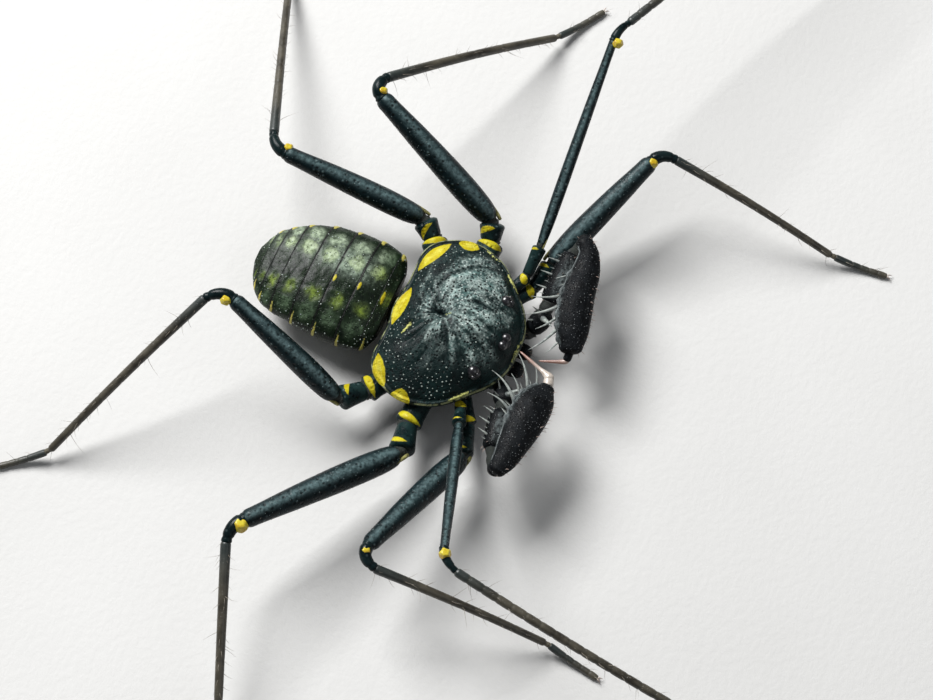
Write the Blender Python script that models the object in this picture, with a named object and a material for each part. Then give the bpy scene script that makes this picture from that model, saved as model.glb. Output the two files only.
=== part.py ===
"""A whip spider standing on the floor, life size, as a museum shows one.

The animal is laid out in millimetres in its own directions: forward towards the
mouthparts, left, and up from the floor. Forward is -Y, left is +X and up is +Z.
Point (0, 0) of that layout is the pit in the middle of the carapace. At the end
everything moves so that the origin is the middle of the footprint, on the floor.
"""

import math

import bmesh
import bpy
from mathutils import Vector

MM = 0.001
UP = Vector((0, 0, 1))
GAP = 0.3
SIDES = {"left": 1, "right": -1}

# Driving sizes of the body, in millimetres
CARAPACE_CENTRE = 1.2
CARAPACE_RIM_UP = 3.6
CARAPACE_RIM = 0.3
CARAPACE_RISE = 2.35
ABDOMEN_MARGIN_UP = 3.0
TERGITE_STEP = 0.05

# Driving sizes of the limbs, by pair
FEMUR_THICK = {"1": 0.9, "2": 1.85, "3": 1.95, "4": 1.75}
TROCHANTER_THICK = {"1": 1.0, "2": 1.35, "3": 1.85, "4": 1.8}
FEMUR_RISE = 0.15
PATELLA_THICK = {"1": 0.68, "2": 0.95, "3": 1.05, "4": 0.95}
TIBIA_LENGTH = {"2": 14.6, "3": 17.4, "4": 17.1}
TIBIA_THICK = {"2": 0.72, "3": 0.78, "4": 0.75}
TARSUS_LENGTH = {"2": 4.2, "3": 4.4, "4": 4.5}
WHIP_TIBIA_LENGTH = 26.0
WHIP_TARSUS_LENGTH = 30.0
WHIP_TIP_UP = 1.6
ANKLE_UP = 0.9
SOLE_UP = 0.19
SPINE_THICK = 0.55

COLOURS = {
    "carapace": ((0.020, 0.045, 0.042), 0.42),
    "underside": ((0.035, 0.055, 0.045), 0.5),
    "abdomen": ((0.045, 0.075, 0.035), 0.4),
    "femur": ((0.018, 0.048, 0.058), 0.38),
    "shank": ((0.19, 0.18, 0.14), 0.5),
    "palp": ((0.012, 0.013, 0.015), 0.45),
    "claw": ((0.30, 0.17, 0.12), 0.35),
    "eye": ((0.004, 0.004, 0.005), 0.08),
}


def at(forward, left, up):
    """A place in the layout, in millimetres."""
    return Vector((left, -forward, up))


def toward(heading, pitch=0.0):
    """The unit direction with this heading, left of forward, and this pitch, in degrees."""
    h, p = math.radians(heading), math.radians(pitch)
    return at(math.cos(h) * math.cos(p), math.sin(h) * math.cos(p), math.sin(p))


def through(points, t):
    """A smooth curve through (t, value) pairs."""
    last = len(points) - 1
    i = max(0, min(last - 1, sum(1 for p in points if p[0] <= t) - 1))
    (t0, v0), (t1, v1) = points[i], points[i + 1]
    before, after = points[max(0, i - 1)], points[min(last, i + 2)]
    span = t1 - t0
    s = (t - t0) / span
    m0 = (v1 - before[1]) / (t1 - before[0]) * span
    m1 = (after[1] - v0) / (after[0] - t0) * span
    return (
        (2 * s**3 - 3 * s**2 + 1) * v0
        + (s**3 - 2 * s**2 + s) * m0
        + (3 * s**2 - 2 * s**3) * v1
        + (s**3 - s**2) * m1
    )


def finish(name):
    """The chitin of one part, in the colour and gloss of the photograph."""
    found = bpy.data.materials.get(name)
    if found:
        return found
    colour, roughness = COLOURS[name]
    made = bpy.data.materials.new(name)
    made.use_nodes = True
    shader = made.node_tree.nodes["Principled BSDF"]
    shader.inputs["Base Color"].default_value = (*colour, 1)
    shader.inputs["Roughness"].default_value = roughness
    shader.inputs["Metallic"].default_value = 0.0
    made.diffuse_color = (*colour, 1)
    return made


def solid(name, points, faces, colour, smooth=40):
    """One closed body from points in millimetres, with its faces turned outwards."""
    mesh = bpy.data.meshes.new(name)
    mesh.from_pydata([p * MM for p in points], [], faces)
    body = bmesh.new()
    body.from_mesh(mesh)
    bmesh.ops.triangulate(body, faces=body.faces)
    bmesh.ops.recalc_face_normals(body, faces=body.faces)
    body.to_mesh(mesh)
    body.free()
    mesh.materials.append(finish(colour))
    mesh.shade_smooth()
    mesh.set_sharp_from_angle(angle=math.radians(smooth))
    made = bpy.data.objects.new(name, mesh)
    bpy.context.scene.collection.objects.link(made)
    return made


def skin_over(rings):
    """Faces between like rings of points, closed by a fan over each end."""
    sides = len(rings[0])
    points = [p for ring in rings for p in ring]
    faces = []
    for i in range(len(rings) - 1):
        low, high = i * sides, (i + 1) * sides
        for j in range(sides):
            k = (j + 1) % sides
            faces.append((low + j, low + k, high + k, high + j))
    for ring, first in ((rings[0], 0), (rings[-1], len(points) - sides)):
        hub = len(points)
        points.append(sum(ring, Vector()) / sides)
        for j in range(sides):
            faces.append((first + j, first + (j + 1) % sides, hub))
    return points, faces


def tube(path, widths, heights, sides, lean=UP):
    """Rings of half widths and half heights along a path, as points and faces."""
    rings = []
    for i, middle in enumerate(path):
        along = (path[min(i + 1, len(path) - 1)] - path[max(i - 1, 0)]).normalized()
        across = along.cross(lean).normalized()
        over = across.cross(along)
        turns = (2 * math.pi * (j + 0.5) / sides for j in range(sides))
        rings.append(
            [
                middle + across * math.cos(a) * widths[i] + over * math.sin(a) * heights[i]
                for a in turns
            ]
        )
    return skin_over(rings)


def limb(start, end, thick, shape, sides=10, steps=6, deep=1.0, rise=0.0, short=(0, 0), blunt=0.5):
    """A segment of the outer skeleton between two places, so much short of each.

    shape gives its share of the thickness along its length, and its ends are rounded.
    It is deep times as deep as wide, and arches upwards by rise at its middle.
    """
    along = (end - start).normalized()
    length = (end - start).length - sum(short)
    start = start + along * short[0]
    over = along.cross(UP).cross(along).normalized()
    tip = min(0.45 * thick, 0.3 * length)
    ends = [(0, blunt), (0.3 * tip, 0.5 * blunt + 0.42), (tip, 1)]
    stations = [(d / length, f) for d, f in ends]
    stations += [(tip / length + (1 - 2 * tip / length) * i / steps, 1) for i in range(1, steps)]
    stations += [(1 - d / length, f) for d, f in reversed(ends)]
    path, halves = [], []
    for t, share in stations:
        path.append(start + along * t * length + over * rise * math.sin(math.pi * t))
        halves.append(through(shape, t) * thick / 2 * share)
    return tube(path, halves, [half * deep for half in halves], sides)


def spine(root, tip, thick=SPINE_THICK, curl=0.0, sides=6):
    """A spine that tapers to a point and curls upwards, its root sunk in what bears it."""
    path = [root.lerp(tip, t) + UP * curl * math.sin(math.pi * t) for t in (0, 0.4, 0.75, 1)]
    halves = [thick / 2 * s for s in (1, 0.92, 0.7, 0.2)]
    upright = abs((tip - root).normalized().z) > 0.9
    return tube(path, halves, halves, sides, Vector((1, 0, 0)) if upright else UP)


def gathered(pieces, colour):
    """Closed meshes put in a collection of their own, ready for a Boolean."""
    held = bpy.data.collections.new("pieces")
    bpy.context.scene.collection.children.link(held)
    for points, faces in pieces:
        piece = solid("piece", points, faces, colour)
        bpy.context.scene.collection.objects.unlink(piece)
        held.objects.link(piece)
    return held


def boolean(target, held, operation):
    """Joins or cuts a mesh by a collection of closed meshes, which are then removed."""
    cut = target.modifiers.new("shape", "BOOLEAN")
    cut.operation = operation
    cut.operand_type = "COLLECTION"
    cut.collection = held
    cut.solver = "EXACT"
    graph = bpy.context.evaluated_depsgraph_get()
    mesh = bpy.data.meshes.new_from_object(target.evaluated_get(graph))
    target.modifiers.remove(cut)
    target.data = mesh
    for piece in list(held.objects):
        bpy.data.objects.remove(piece)
    bpy.data.collections.remove(held)
    keep_largest(mesh)
    mesh.shade_smooth()
    mesh.set_sharp_from_angle(angle=math.radians(40))


def keep_largest(mesh):
    """Leaves only the largest closed surface of a mesh."""
    body = bmesh.new()
    body.from_mesh(mesh)
    bmesh.ops.triangulate(body, faces=body.faces)
    left, shells = set(body.faces), []
    while left:
        shell, edge = set(), [left.pop()]
        while edge:
            face = edge.pop()
            shell.add(face)
            for side in face.edges:
                for other in side.link_faces:
                    if other in left:
                        left.discard(other)
                        edge.append(other)
        shells.append(shell)
    shells.sort(key=len)
    for shell in shells[:-1]:
        bmesh.ops.delete(body, geom=list(shell), context="FACES")
    body.to_mesh(mesh)
    body.free()


def fused(name, core, pieces, colour):
    """A node whose core and pieces are joined into one closed body."""
    made = solid(name, *core, colour)
    boolean(made, gathered(pieces, colour), "UNION")
    return made


# The carapace: a low dome, wider than long, with a pit, furrows and a raised head.
# Its outline is how far the rim lies from the centre, by heading.
CARAPACE_OUTLINE = (
    (0, 4.95), (20, 5.1), (40, 5.2), (54, 5.3), (66, 5.65), (80, 6.25), (92, 6.65), (104, 6.98),
    (117, 7.05), (128, 6.95), (137, 6.5), (146, 5.7), (156, 5.15), (167, 4.93), (180, 4.95),
)
FURROW_HEADINGS = (62, 88, 112, 138)
MEDIAN_EYES = (5.0, 0.0)
LATERAL_EYES = (4.0, 3.0)
EYE_RADIUS = {"median": 0.5, "lateral": 0.42}


def carapace_reach(heading):
    """How far the rim lies from the centre of the carapace at this heading."""
    heading = abs((heading + 180) % 360 - 180)
    mirrored = ((-20, 5.1), *CARAPACE_OUTLINE, (193, 4.93))
    return through(mirrored, heading)


def carapace_top(forward, left):
    """How high the carapace is at this place."""
    out = forward - CARAPACE_CENTRE
    heading = math.degrees(math.atan2(left, out))
    share = min(1.0, math.hypot(out, left) / carapace_reach(heading))
    head = 0.32 * math.exp(-((forward - 3.6) ** 2) / 3.0 - left**2 / 5.0)
    pit = 0.42 * math.exp(-(forward**2 + (left * 0.8) ** 2) / 0.35)
    away = math.hypot(forward, left)
    run = 0.16 * math.exp(-((away - 2.6) ** 2) / 3.6)
    around = abs(math.degrees(math.atan2(left, forward)))
    furrows = sum(run * math.exp(-(((around - h) / 7) ** 2)) for h in FURROW_HEADINGS)
    rise = CARAPACE_RISE * (1 - share**2.3) + (head - pit - furrows) * (1 - share**4)
    return CARAPACE_RIM_UP + CARAPACE_RIM + rise


def eye_places():
    """The name, forward, left and radius of each eye mound."""
    forward, left = LATERAL_EYES
    return (
        ("eye_median", *MEDIAN_EYES, EYE_RADIUS["median"]),
        ("eye_lateral_left", forward, left, EYE_RADIUS["lateral"]),
        ("eye_lateral_right", forward, -left, EYE_RADIUS["lateral"]),
    )


def carapace(spokes=44, rings=9):
    rows = []
    for ring in range(1, rings + 1):
        share = math.sin(math.pi / 2 * (ring / rings)) ** 1.15
        row = []
        for spoke in range(spokes):
            heading = 360 * spoke / spokes
            out = toward(heading) * carapace_reach(heading) * share
            place = at(CARAPACE_CENTRE, 0, 0) + out
            place.z = carapace_top(-place.y, place.x)
            row.append(place)
        rows.append(row)
    rows.append([Vector((p.x, p.y, CARAPACE_RIM_UP)) for p in rows[-1]])
    points, faces = skin_over(rows)
    points[-2].z = carapace_top(CARAPACE_CENTRE, 0)
    made = solid("carapace", points, faces, "carapace")
    sockets = []
    for _, forward, left, radius in eye_places():
        level = carapace_top(forward, left)
        path = [at(forward, left, level - 0.55), at(forward, left, level + 1.5)]
        halves = [radius + GAP] * 2
        sockets.append(tube(path, halves, halves, 12, lean=Vector((1, 0, 0))))
    boolean(made, gathered(sockets, "carapace"), "DIFFERENCE")


def eyes():
    for name, forward, left, radius in eye_places():
        level = carapace_top(forward, left)
        stations = ((-0.25, 1), (0.05, 1), (0.22, 0.8), (0.34, 0.4))
        path = [at(forward, left, level + up) for up, _ in stations]
        halves = [radius * share for _, share in stations]
        solid(name, *tube(path, halves, halves, 12, lean=Vector((1, 0, 0))), "eye")


# The underside: the small breastplate, with the first joint of every limb around it.
# Each joint is where it ends and how thick it is.
COXA_ENDS = {
    ("1", "left"): ((4.15, 6.1, 2.98), 0.9),
    ("1", "right"): ((3.95, -5.3, 2.93), 0.9),
    ("2", "left"): ((4.8, 5.7, 2.0), 1.2),
    ("2", "right"): ((4.75, -5.8, 2.0), 1.2),
    ("3", "left"): ((0.56, 7.66, 2.45), 1.95),
    ("3", "right"): ((0.8, -7.76, 2.45), 1.95),
    ("4", "left"): ((-3.35, 6.2, 2.45), 1.9),
    ("4", "right"): ((-3.0, -6.55, 2.45), 1.9),
    ("palp", "left"): ((5.45, 2.1, 2.35), 1.5),
    ("palp", "right"): ((5.45, -2.1, 2.35), 1.5),
}
COXA_SHAPE = ((0, 0.8), (0.6, 1.0), (1, 1.0))
BREASTPLATE = (at(-2.3, 0, 2.35), at(4.9, 0, 2.35), 7.4)


def underside():
    start, end, wide = BREASTPLATE
    core = limb(start, end, wide, ((0, 0.8), (0.45, 1), (1, 0.75)), sides=16, steps=5, deep=0.24)
    lobes = []
    for (forward, left, up), thick in COXA_ENDS.values():
        inner = at(CARAPACE_CENTRE + 0.25 * (forward - CARAPACE_CENTRE), left * 0.3, 2.35)
        lobes.append(limb(inner, at(forward, left, up), thick, COXA_SHAPE, steps=2, deep=0.95))
    fused("underside", core, lobes, "underside")


def chelicerae():
    """The two short jaws between the pedipalps, each with its fang."""
    for side, sign in SIDES.items():
        body = limb(at(5.25, sign * 0.8, 2.55), at(6.95, sign * 0.76, 2.65), 1.2,
                    ((0, 0.95), (0.5, 1), (1, 0.85)), steps=4, deep=1.1, short=(0.1, 0))
        fang = spine(at(6.5, sign * 0.76, 2.4), at(6.9, sign * 0.6, 1.2))
        fused(f"chelicera_{side}", body, [fang], "palp")


# The pedipalps: folded arms with rows of long spines that close on prey.
PALP_TROCHANTER = ((6.1, 2.55, 2.5), (6.9, 3.95, 3.8))
PALP_FEMUR_START = {"left": (6.65, 4.35, 3.95), "right": (6.85, -4.35, 3.95)}
PALP_FEMUR_THICK = 1.65
PALP_KNEE = {"left": (6.8, 8.7, 4.85), "right": (7.5, -7.9, 4.35)}
# Places along the tibia (forward, left, up) with its width there
PALP_TIBIA = {
    "left": (
        (7.4, 9.4, 5.9, 1.25), (8.08, 8.65, 5.8, 1.55), (8.42, 7.3, 5.65, 2.15),
        (8.55, 5.75, 5.45, 2.5), (8.9, 4.1, 5.3, 2.6), (9.33, 2.7, 5.15, 2.25),
        (9.72, 1.6, 5.0, 1.25),
    ),
    "right": (
        (8.64, -9.44, 5.9, 1.4), (8.86, -8.43, 5.8, 1.9), (8.92, -6.97, 5.65, 2.4),
        (8.98, -5.5, 5.45, 2.8), (9.06, -4.1, 5.3, 2.85), (9.22, -3.0, 5.15, 2.35),
        (9.36, -2.1, 5.0, 1.25),
    ),
}
KNEE_LOBE = {"left": (7.4, 9.85, 5.0), "right": (8.25, -9.2, 4.9)}
# Each spine of the tibia as where it leaves the tibia and where its tip lies
TIBIA_SPINES = {
    "left": (
        ((7.3, 6.6, 5.6), (6.55, 5.85, 5.9)),
        ((7.46, 5.15, 5.3), (5.5, 3.88, 5.8)),
        ((7.64, 4.36, 5.3), (5.47, 2.31, 5.8)),
        ((7.81, 3.4, 5.25), (6.81, 1.61, 5.8)),
        ((8.19, 2.7, 5.2), (7.0, -0.1, 5.8)),
        ((8.66, 1.75, 5.1), (8.23, 0.25, 5.6)),
    ),
    "right": (
        ((7.75, -5.6, 5.5), (7.0, -5.0, 5.85)),
        ((7.54, -4.94, 5.3), (5.59, -4.31, 5.8)),
        ((7.43, -3.97, 5.3), (5.23, -2.6, 5.8)),
        ((7.58, -3.22, 5.25), (6.59, -2.25, 5.8)),
        ((7.96, -2.55, 5.2), (6.5, -0.65, 5.8)),
        ((8.56, -2.2, 5.1), (8.0, -1.0, 5.7)),
    ),
}
SUNK = 0.9
# Spines under the tibia and in front of the femur: how far along, and how long
UNDER_SPINES = ((0.45, 0.9), (0.62, 1.2), (0.78, 1.0))
FEMUR_SPINES = ((0.25, 0.6), (0.5, 0.75), (0.75, 0.6))
# The tarsus and its slender claw: places along it with its half width
PALP_CLAW = {
    "left": ((9.86, 0.9, 4.62, 0.22), (9.75, 0.66, 4.56, 0.34), (9.4, 0.5, 4.48, 0.3),
             (8.9, 0.33, 4.4, 0.21), (8.35, 0.15, 4.3, 0.16), (7.85, 0.0, 4.2, 0.08)),
    "right": ((9.3, -1.38, 4.95, 0.26), (9.15, -1.18, 4.95, 0.38), (8.75, -0.98, 4.95, 0.34),
              (8.2, -0.78, 4.95, 0.22), (7.3, -0.45, 4.92, 0.17), (6.4, -0.1, 4.85, 0.08)),
}


def palp_tibia(side, rings=10, sides=14):
    """The path and widths of the tibia, each ring so far along its measured places."""
    rows = PALP_TIBIA[side]
    places = [at(f, l, u) for f, l, u, _ in rows]
    last = len(rows) - 1
    curves = [tuple((i / last, p[axis]) for i, p in enumerate(places)) for axis in range(3)]
    widths = tuple((i / last, row[3]) for i, row in enumerate(rows))
    path, halves = [], []
    for i in range(rings + 1):
        t = i / rings
        path.append(Vector([through(curve, t) for curve in curves]))
        halves.append(through(widths, t) / 2)
    for end, inner in ((0, 1), (-1, -2)):
        away = (path[end] - path[inner]).normalized()
        path.insert(0 if end == 0 else len(path), path[end] + away * halves[end] * 0.5)
        halves.insert(0 if end == 0 else len(halves), halves[end] * 0.6)
    return tube(path, halves, [half * 0.8 for half in halves], sides), path


def pedipalp(side):
    sign = SIDES[side]
    start, end = (at(f, sign * l, u) for f, l, u in PALP_TROCHANTER)
    body = limb(start, end, 1.6, ((0, 0.8), (0.5, 1), (1, 0.85)), steps=3, blunt=0.6)
    spur = spine(at(6.75, sign * 3.3, 3.9), at(7.75, sign * 2.65, 4.75))
    fused(f"pedipalp_{side}_trochanter", body, [spur], "palp")

    root, knee = at(*PALP_FEMUR_START[side]), at(*PALP_KNEE[side])
    body = limb(root, knee, PALP_FEMUR_THICK, ((0, 0.8), (0.3, 1.0), (0.75, 0.95), (1, 0.8)),
                steps=5, deep=0.95, short=(0.15, 0))
    thorns = []
    for t, length in FEMUR_SPINES:
        base = root.lerp(knee, t)
        thorns.append(spine(base, base + at(-0.75 - length, -0.2 * sign, 0.75)))
    fused(f"pedipalp_{side}_femur", body, thorns, "palp")

    body, path = palp_tibia(side)
    lobe = limb(path[1], at(*KNEE_LOBE[side]), 1.15, ((0, 1), (0.5, 1), (1, 0.9)), steps=2)
    thorns = [lobe]
    for place, tip in TIBIA_SPINES[side]:
        place, tip = at(*place), at(*tip)
        root = place + (place - tip).normalized() * SUNK
        thorns.append(spine(root, tip, curl=0.15))
    for t, length in UNDER_SPINES:
        base = path[round(t * len(path))]
        thorns.append(spine(base, base + at(-length * 0.5, -0.3 * sign, -0.75 - length * 0.7)))
    fused(f"pedipalp_{side}_tibia", body, thorns, "palp")

    rows = PALP_CLAW[side]
    halves = [row[3] for row in rows]
    solid(f"pedipalp_{side}_claw", *tube([at(*row[:3]) for row in rows], halves, halves, 8), "claw")


# The legs. Each pose is where the femur starts, the knee, where the patella ends, the
# heading of the shank and how far the foot turns from it. Leg 1 is the whip.
POSES = {
    ("1", "left"): ((4.3, 8.48, 4.1), (3.58, 23.65, 10.5), (3.95, 25.0, 10.35), 68, -34),
    ("1", "right"): ((4.51, -6.9, 4.1), (8.77, -18.9, 14.0), (9.75, -19.8, 13.85), -8, 14),
    ("2", "left"): ((5.4, 8.0, 2.8), (9.6, 17.59, 6.4), (10.75, 18.2, 6.25), -1, 7),
    ("2", "right"): ((5.62, -8.6, 2.9), (2.66, -19.06, 7.2), (3.5, -20.1, 7.0), 6.6, -16),
    ("3", "left"): ((0.11, 9.23, 3.3), (-10.83, 12.78, 9.4), (-10.95, 14.1, 9.3), 54, 5),
    ("3", "right"): ((1.42, -10.35, 3.3), (-6.37, -20.76, 6.6), (-6.85, -22.1, 6.4), -68.5, -6),
    ("4", "left"): ((-4.69, 7.27, 3.3), (-15.97, 6.53, 7.0), (-17.05, 7.5, 6.8), 112, -6),
    ("4", "right"): ((-4.54, -8.41, 3.3), (-14.04, -6.06, 8.6), (-15.55, -6.5, 8.4), -118, -24),
}
FEMUR_SHAPE = ((0, 0.7), (0.1, 0.92), (0.3, 1.0), (0.65, 0.86), (0.9, 0.66), (1, 0.6))
SHANK_SHAPE = ((0, 1.0), (0.5, 0.85), (1, 0.78))


def room(before, after, thick):
    """How far short of a joint two segments stop, by how sharply they meet there."""
    return GAP / 2 + 0.22 * thick * math.sin(before.angle(after))


def upper_leg(pair, side):
    """Trochanter, femur and patella. Gives the end of the patella."""
    name = f"leg{pair}_{side}"
    root, knee, end, shank, _ = POSES[(pair, side)]
    root, knee, end = at(*root), at(*knee), at(*end)
    place, coxa_thick = COXA_ENDS[(pair, side)]
    socket = at(*place)
    hip, thigh, bend = root - socket, knee - root, end - knee

    thick = TROCHANTER_THICK[pair]
    hip_room = room(hip, thigh, thick)
    body = limb(socket, root, thick, ((0, 0.85), (0.45, 1.0), (1, 0.85)), steps=3,
                short=(GAP + room(hip, at(place[0], place[1], 0), coxa_thick) / 2, hip_room))
    solid(f"{name}_trochanter", *body, "femur")

    thick = FEMUR_THICK[pair]
    knee_room = room(thigh, bend, thick * 0.75)
    body = limb(root, knee, thick, FEMUR_SHAPE, sides=8 if pair == "1" else 10, steps=7,
                deep=1.12, rise=FEMUR_RISE, short=(hip_room, knee_room))
    solid(f"{name}_femur", *body, "femur")

    down = toward(shank, -20)
    body = limb(knee, end, PATELLA_THICK[pair], ((0, 0.95), (0.5, 1.0), (1, 0.82)), steps=2,
                short=(knee_room, room(bend, down, PATELLA_THICK[pair])))
    solid(f"{name}_patella", *body, "femur")
    return end, room(bend, down, PATELLA_THICK[pair])


def walking_leg(pair, side):
    """A leg that stands on the floor: the shank comes down and the foot lies flat."""
    top, top_room = upper_leg(pair, side)
    *_, shank, turn = POSES[(pair, side)]
    length = TIBIA_LENGTH[pair]
    pitch = -math.degrees(math.asin((top.z - ANKLE_UP) / length))
    ankle = top + toward(shank, pitch) * length
    body = limb(top, ankle, TIBIA_THICK[pair], SHANK_SHAPE, sides=8, steps=5, rise=0.35,
                short=(top_room, GAP / 2))
    solid(f"leg{pair}_{side}_tibia", *body, "shank")

    length = TARSUS_LENGTH[pair]
    start = ankle + toward(shank + turn) * GAP / 2
    path, halves = [], []
    for t, half in ((0, 0.2), (0.04, 0.27), (0.35, 0.26), (0.65, 0.25), (0.9, 0.26), (1, 0.2)):
        place = start + toward(shank + turn) * length * t
        place.z = SOLE_UP + (ANKLE_UP - SOLE_UP) * (1 - t) ** 2.4
        path.append(place)
        halves.append(half)
    points, faces = tube(path, halves, halves, 8)
    for point in points:
        point.z = max(point.z, 0)
    solid(f"leg{pair}_{side}_tarsus", points, faces, "shank")


def trail(start, length, headings, pitches, steps):
    """A path that sets out at the first heading and pitch and swings to the second."""
    path = [start]
    for i in range(steps):
        t = (i + 0.5) / steps
        heading = headings[0] + (headings[1] - headings[0]) * t
        pitch = pitches[0] + (pitches[1] - pitches[0]) * t
        path.append(path[-1] + toward(heading, pitch) * length / steps)
    return path


def whip(side):
    """A feeler leg: past the patella it is a long whip that swings down to the floor."""
    top, top_room = upper_leg("1", side)
    *_, heading, turn = POSES[("1", side)]
    drop = (top.z - WHIP_TIP_UP) / (WHIP_TIBIA_LENGTH + WHIP_TARSUS_LENGTH)
    pitch = -math.degrees(math.asin(drop))
    middle = heading + turn * 0.4
    parts = (
        ("tibia", WHIP_TIBIA_LENGTH, (heading, middle), (pitch * 0.7, pitch), 0.64, 0.56),
        ("tarsus", WHIP_TARSUS_LENGTH, (middle, heading + turn), (pitch, pitch * 1.25), 0.56, 0.5),
    )
    place = top + toward(heading, pitch) * top_room
    steps = 8
    for part, length, headings, pitches, thick, end_thick in parts:
        path = trail(place, length - GAP, headings, pitches, steps)
        halves = [(thick + (end_thick - thick) * i / steps) / 2 for i in range(steps + 1)]
        halves[0] *= 0.8
        halves[-1] *= 0.7
        solid(f"leg1_{side}_{part}", *tube(path, halves, halves, 6), "shank")
        place = path[-1] + toward(headings[1], pitches[1]) * GAP


# The abdomen: a flattened oval of tergites, each with its rear edge over the next.
# Widths, heights above and below its margin, and its midline, from rear to front.
ABDOMEN_WIDTH = (
    (-14.85, 0.75), (-14.55, 1.6), (-14.0, 2.55), (-13.3, 3.2), (-12.3, 3.72), (-10.5, 4.2),
    (-8.6, 4.45), (-6.6, 4.5), (-4.8, 4.15), (-4.4, 3.7), (-4.08, 2.9),
)
ABDOMEN_TOP = (
    (-14.85, 0.42), (-14.0, 0.9), (-12.0, 1.48), (-9.0, 1.9), (-6.5, 1.75), (-4.08, 0.75),
)
ABDOMEN_BELLY = (
    (-14.85, 0.38), (-14.0, 0.68), (-12.0, 1.1), (-9.0, 1.45), (-6.5, 1.35), (-4.08, 0.7),
)
ABDOMEN_MIDLINE = ((-14.85, -0.35), (-13.3, -0.42), (-12.3, -0.32), (-10.5, -0.12), (-4.08, -0.05))
TERGITE_EDGES = (-4.08, -4.8, -6.65, -8.55, -10.45, -12.2, -13.35, -14.1, -14.5, -14.85)


def abdomen(sides=24):
    rings = []
    for front, rear in zip(TERGITE_EDGES, TERGITE_EDGES[1:]):
        for t, lift in ((0, 1 - TERGITE_STEP), (0.5, 1 - TERGITE_STEP * 0.3), (0.97, 1.0)):
            forward = front + (rear - front) * t
            wide = through(ABDOMEN_WIDTH, forward) * (0.5 + 0.5 * lift)
            middle = through(ABDOMEN_MIDLINE, forward)
            ring = []
            for j in range(sides):
                turn = 2 * math.pi * (j + 0.5) / sides
                c, s = math.cos(turn), math.sin(turn)
                high = through(ABDOMEN_TOP if s > 0 else ABDOMEN_BELLY, forward)
                left = middle + math.copysign(abs(c) ** 0.85, c) * wide
                up = math.copysign(abs(s) ** 0.95, s) * high * (lift if s > 0 else 1)
                ring.append(at(forward, left, ABDOMEN_MARGIN_UP + up))
            rings.append(ring)
    solid("abdomen", *skin_over(rings), "abdomen", smooth=25)


def pedicel():
    """The narrow waist between the underside and the abdomen."""
    body = limb(at(-2.65, 0, 2.5), at(-3.75, 0, 2.75), 2.6, ((0, 0.9), (0.5, 1.0), (1, 0.9)),
                sides=12, steps=2, deep=0.32, blunt=0.85)
    solid("pedicel", *body, "underside")


def centre_footprint():
    """Moves the animal so that the middle of its box, on the floor, is the origin."""
    parts = list(bpy.context.scene.objects)
    corners = [v.co for part in parts for v in part.data.vertices]
    low = [min(c[i] for c in corners) for i in range(3)]
    high = [max(c[i] for c in corners) for i in range(3)]
    middle = Vector(((low[0] + high[0]) / 2, (low[1] + high[1]) / 2, low[2]))
    for part in parts:
        for vertex in part.data.vertices:
            vertex.co = vertex.co - middle


def whip_spider():
    carapace()
    eyes()
    underside()
    chelicerae()
    pedicel()
    abdomen()
    for side in SIDES:
        pedipalp(side)
        whip(side)
        for pair in ("2", "3", "4"):
            walking_leg(pair, side)
    centre_footprint()


for leftover in list(bpy.data.objects):
    bpy.data.objects.remove(leftover)
whip_spider()
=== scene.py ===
"""The looks of a life-size whip spider, dressed over its solids.

Places are laid out as in the solids: millimetres forward, left and up from the pit in
the middle of the carapace, with forward along -Y and left along +X.
"""

import math

import bmesh
import bpy
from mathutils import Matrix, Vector, noise


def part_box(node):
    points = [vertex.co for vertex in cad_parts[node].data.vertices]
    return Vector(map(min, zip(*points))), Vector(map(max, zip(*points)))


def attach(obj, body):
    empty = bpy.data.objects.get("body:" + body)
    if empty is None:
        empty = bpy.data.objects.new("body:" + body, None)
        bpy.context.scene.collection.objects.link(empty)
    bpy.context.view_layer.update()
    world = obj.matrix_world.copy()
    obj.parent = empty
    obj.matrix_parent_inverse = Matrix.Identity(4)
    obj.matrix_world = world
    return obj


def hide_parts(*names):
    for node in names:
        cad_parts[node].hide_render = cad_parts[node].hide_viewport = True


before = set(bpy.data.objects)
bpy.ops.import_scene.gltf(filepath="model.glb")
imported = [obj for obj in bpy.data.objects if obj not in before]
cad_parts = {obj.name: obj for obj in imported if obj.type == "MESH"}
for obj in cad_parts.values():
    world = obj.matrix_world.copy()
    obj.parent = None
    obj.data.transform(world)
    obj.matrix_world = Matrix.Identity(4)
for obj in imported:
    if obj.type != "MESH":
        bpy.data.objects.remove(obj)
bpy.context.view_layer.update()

# THE UNDERSIDE
# A small breastplate of three knobs, with the first joint of every limb set round it.
# Each is a tube of hard dark skin, flared at its outer rim, which is yellow on top.

MM = 0.001
UP = Vector((0, 0, 1))
SIDES = {"left": 1, "right": -1}
# How far the pit lies behind the front of the carapace, in metres
PIT_BEHIND = 0.00615
low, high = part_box("carapace")
PIT = Vector(((low.x + high.x) / 2, low.y + PIT_BEHIND, 0))
# The gap between two segments, and how far forward of the pit the carapace's middle lies
GAP, CENTRE = 0.3, 1.2


def at(forward, left, up):
    """A place in the layout, in millimetres."""
    return Vector((left, -forward, up))


def toward(heading, pitch=0.0):
    """The unit direction with this heading, left of forward, and this pitch, in degrees."""
    h, p = math.radians(heading), math.radians(pitch)
    return at(math.cos(h) * math.cos(p), math.sin(h) * math.cos(p), math.sin(p))


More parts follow.
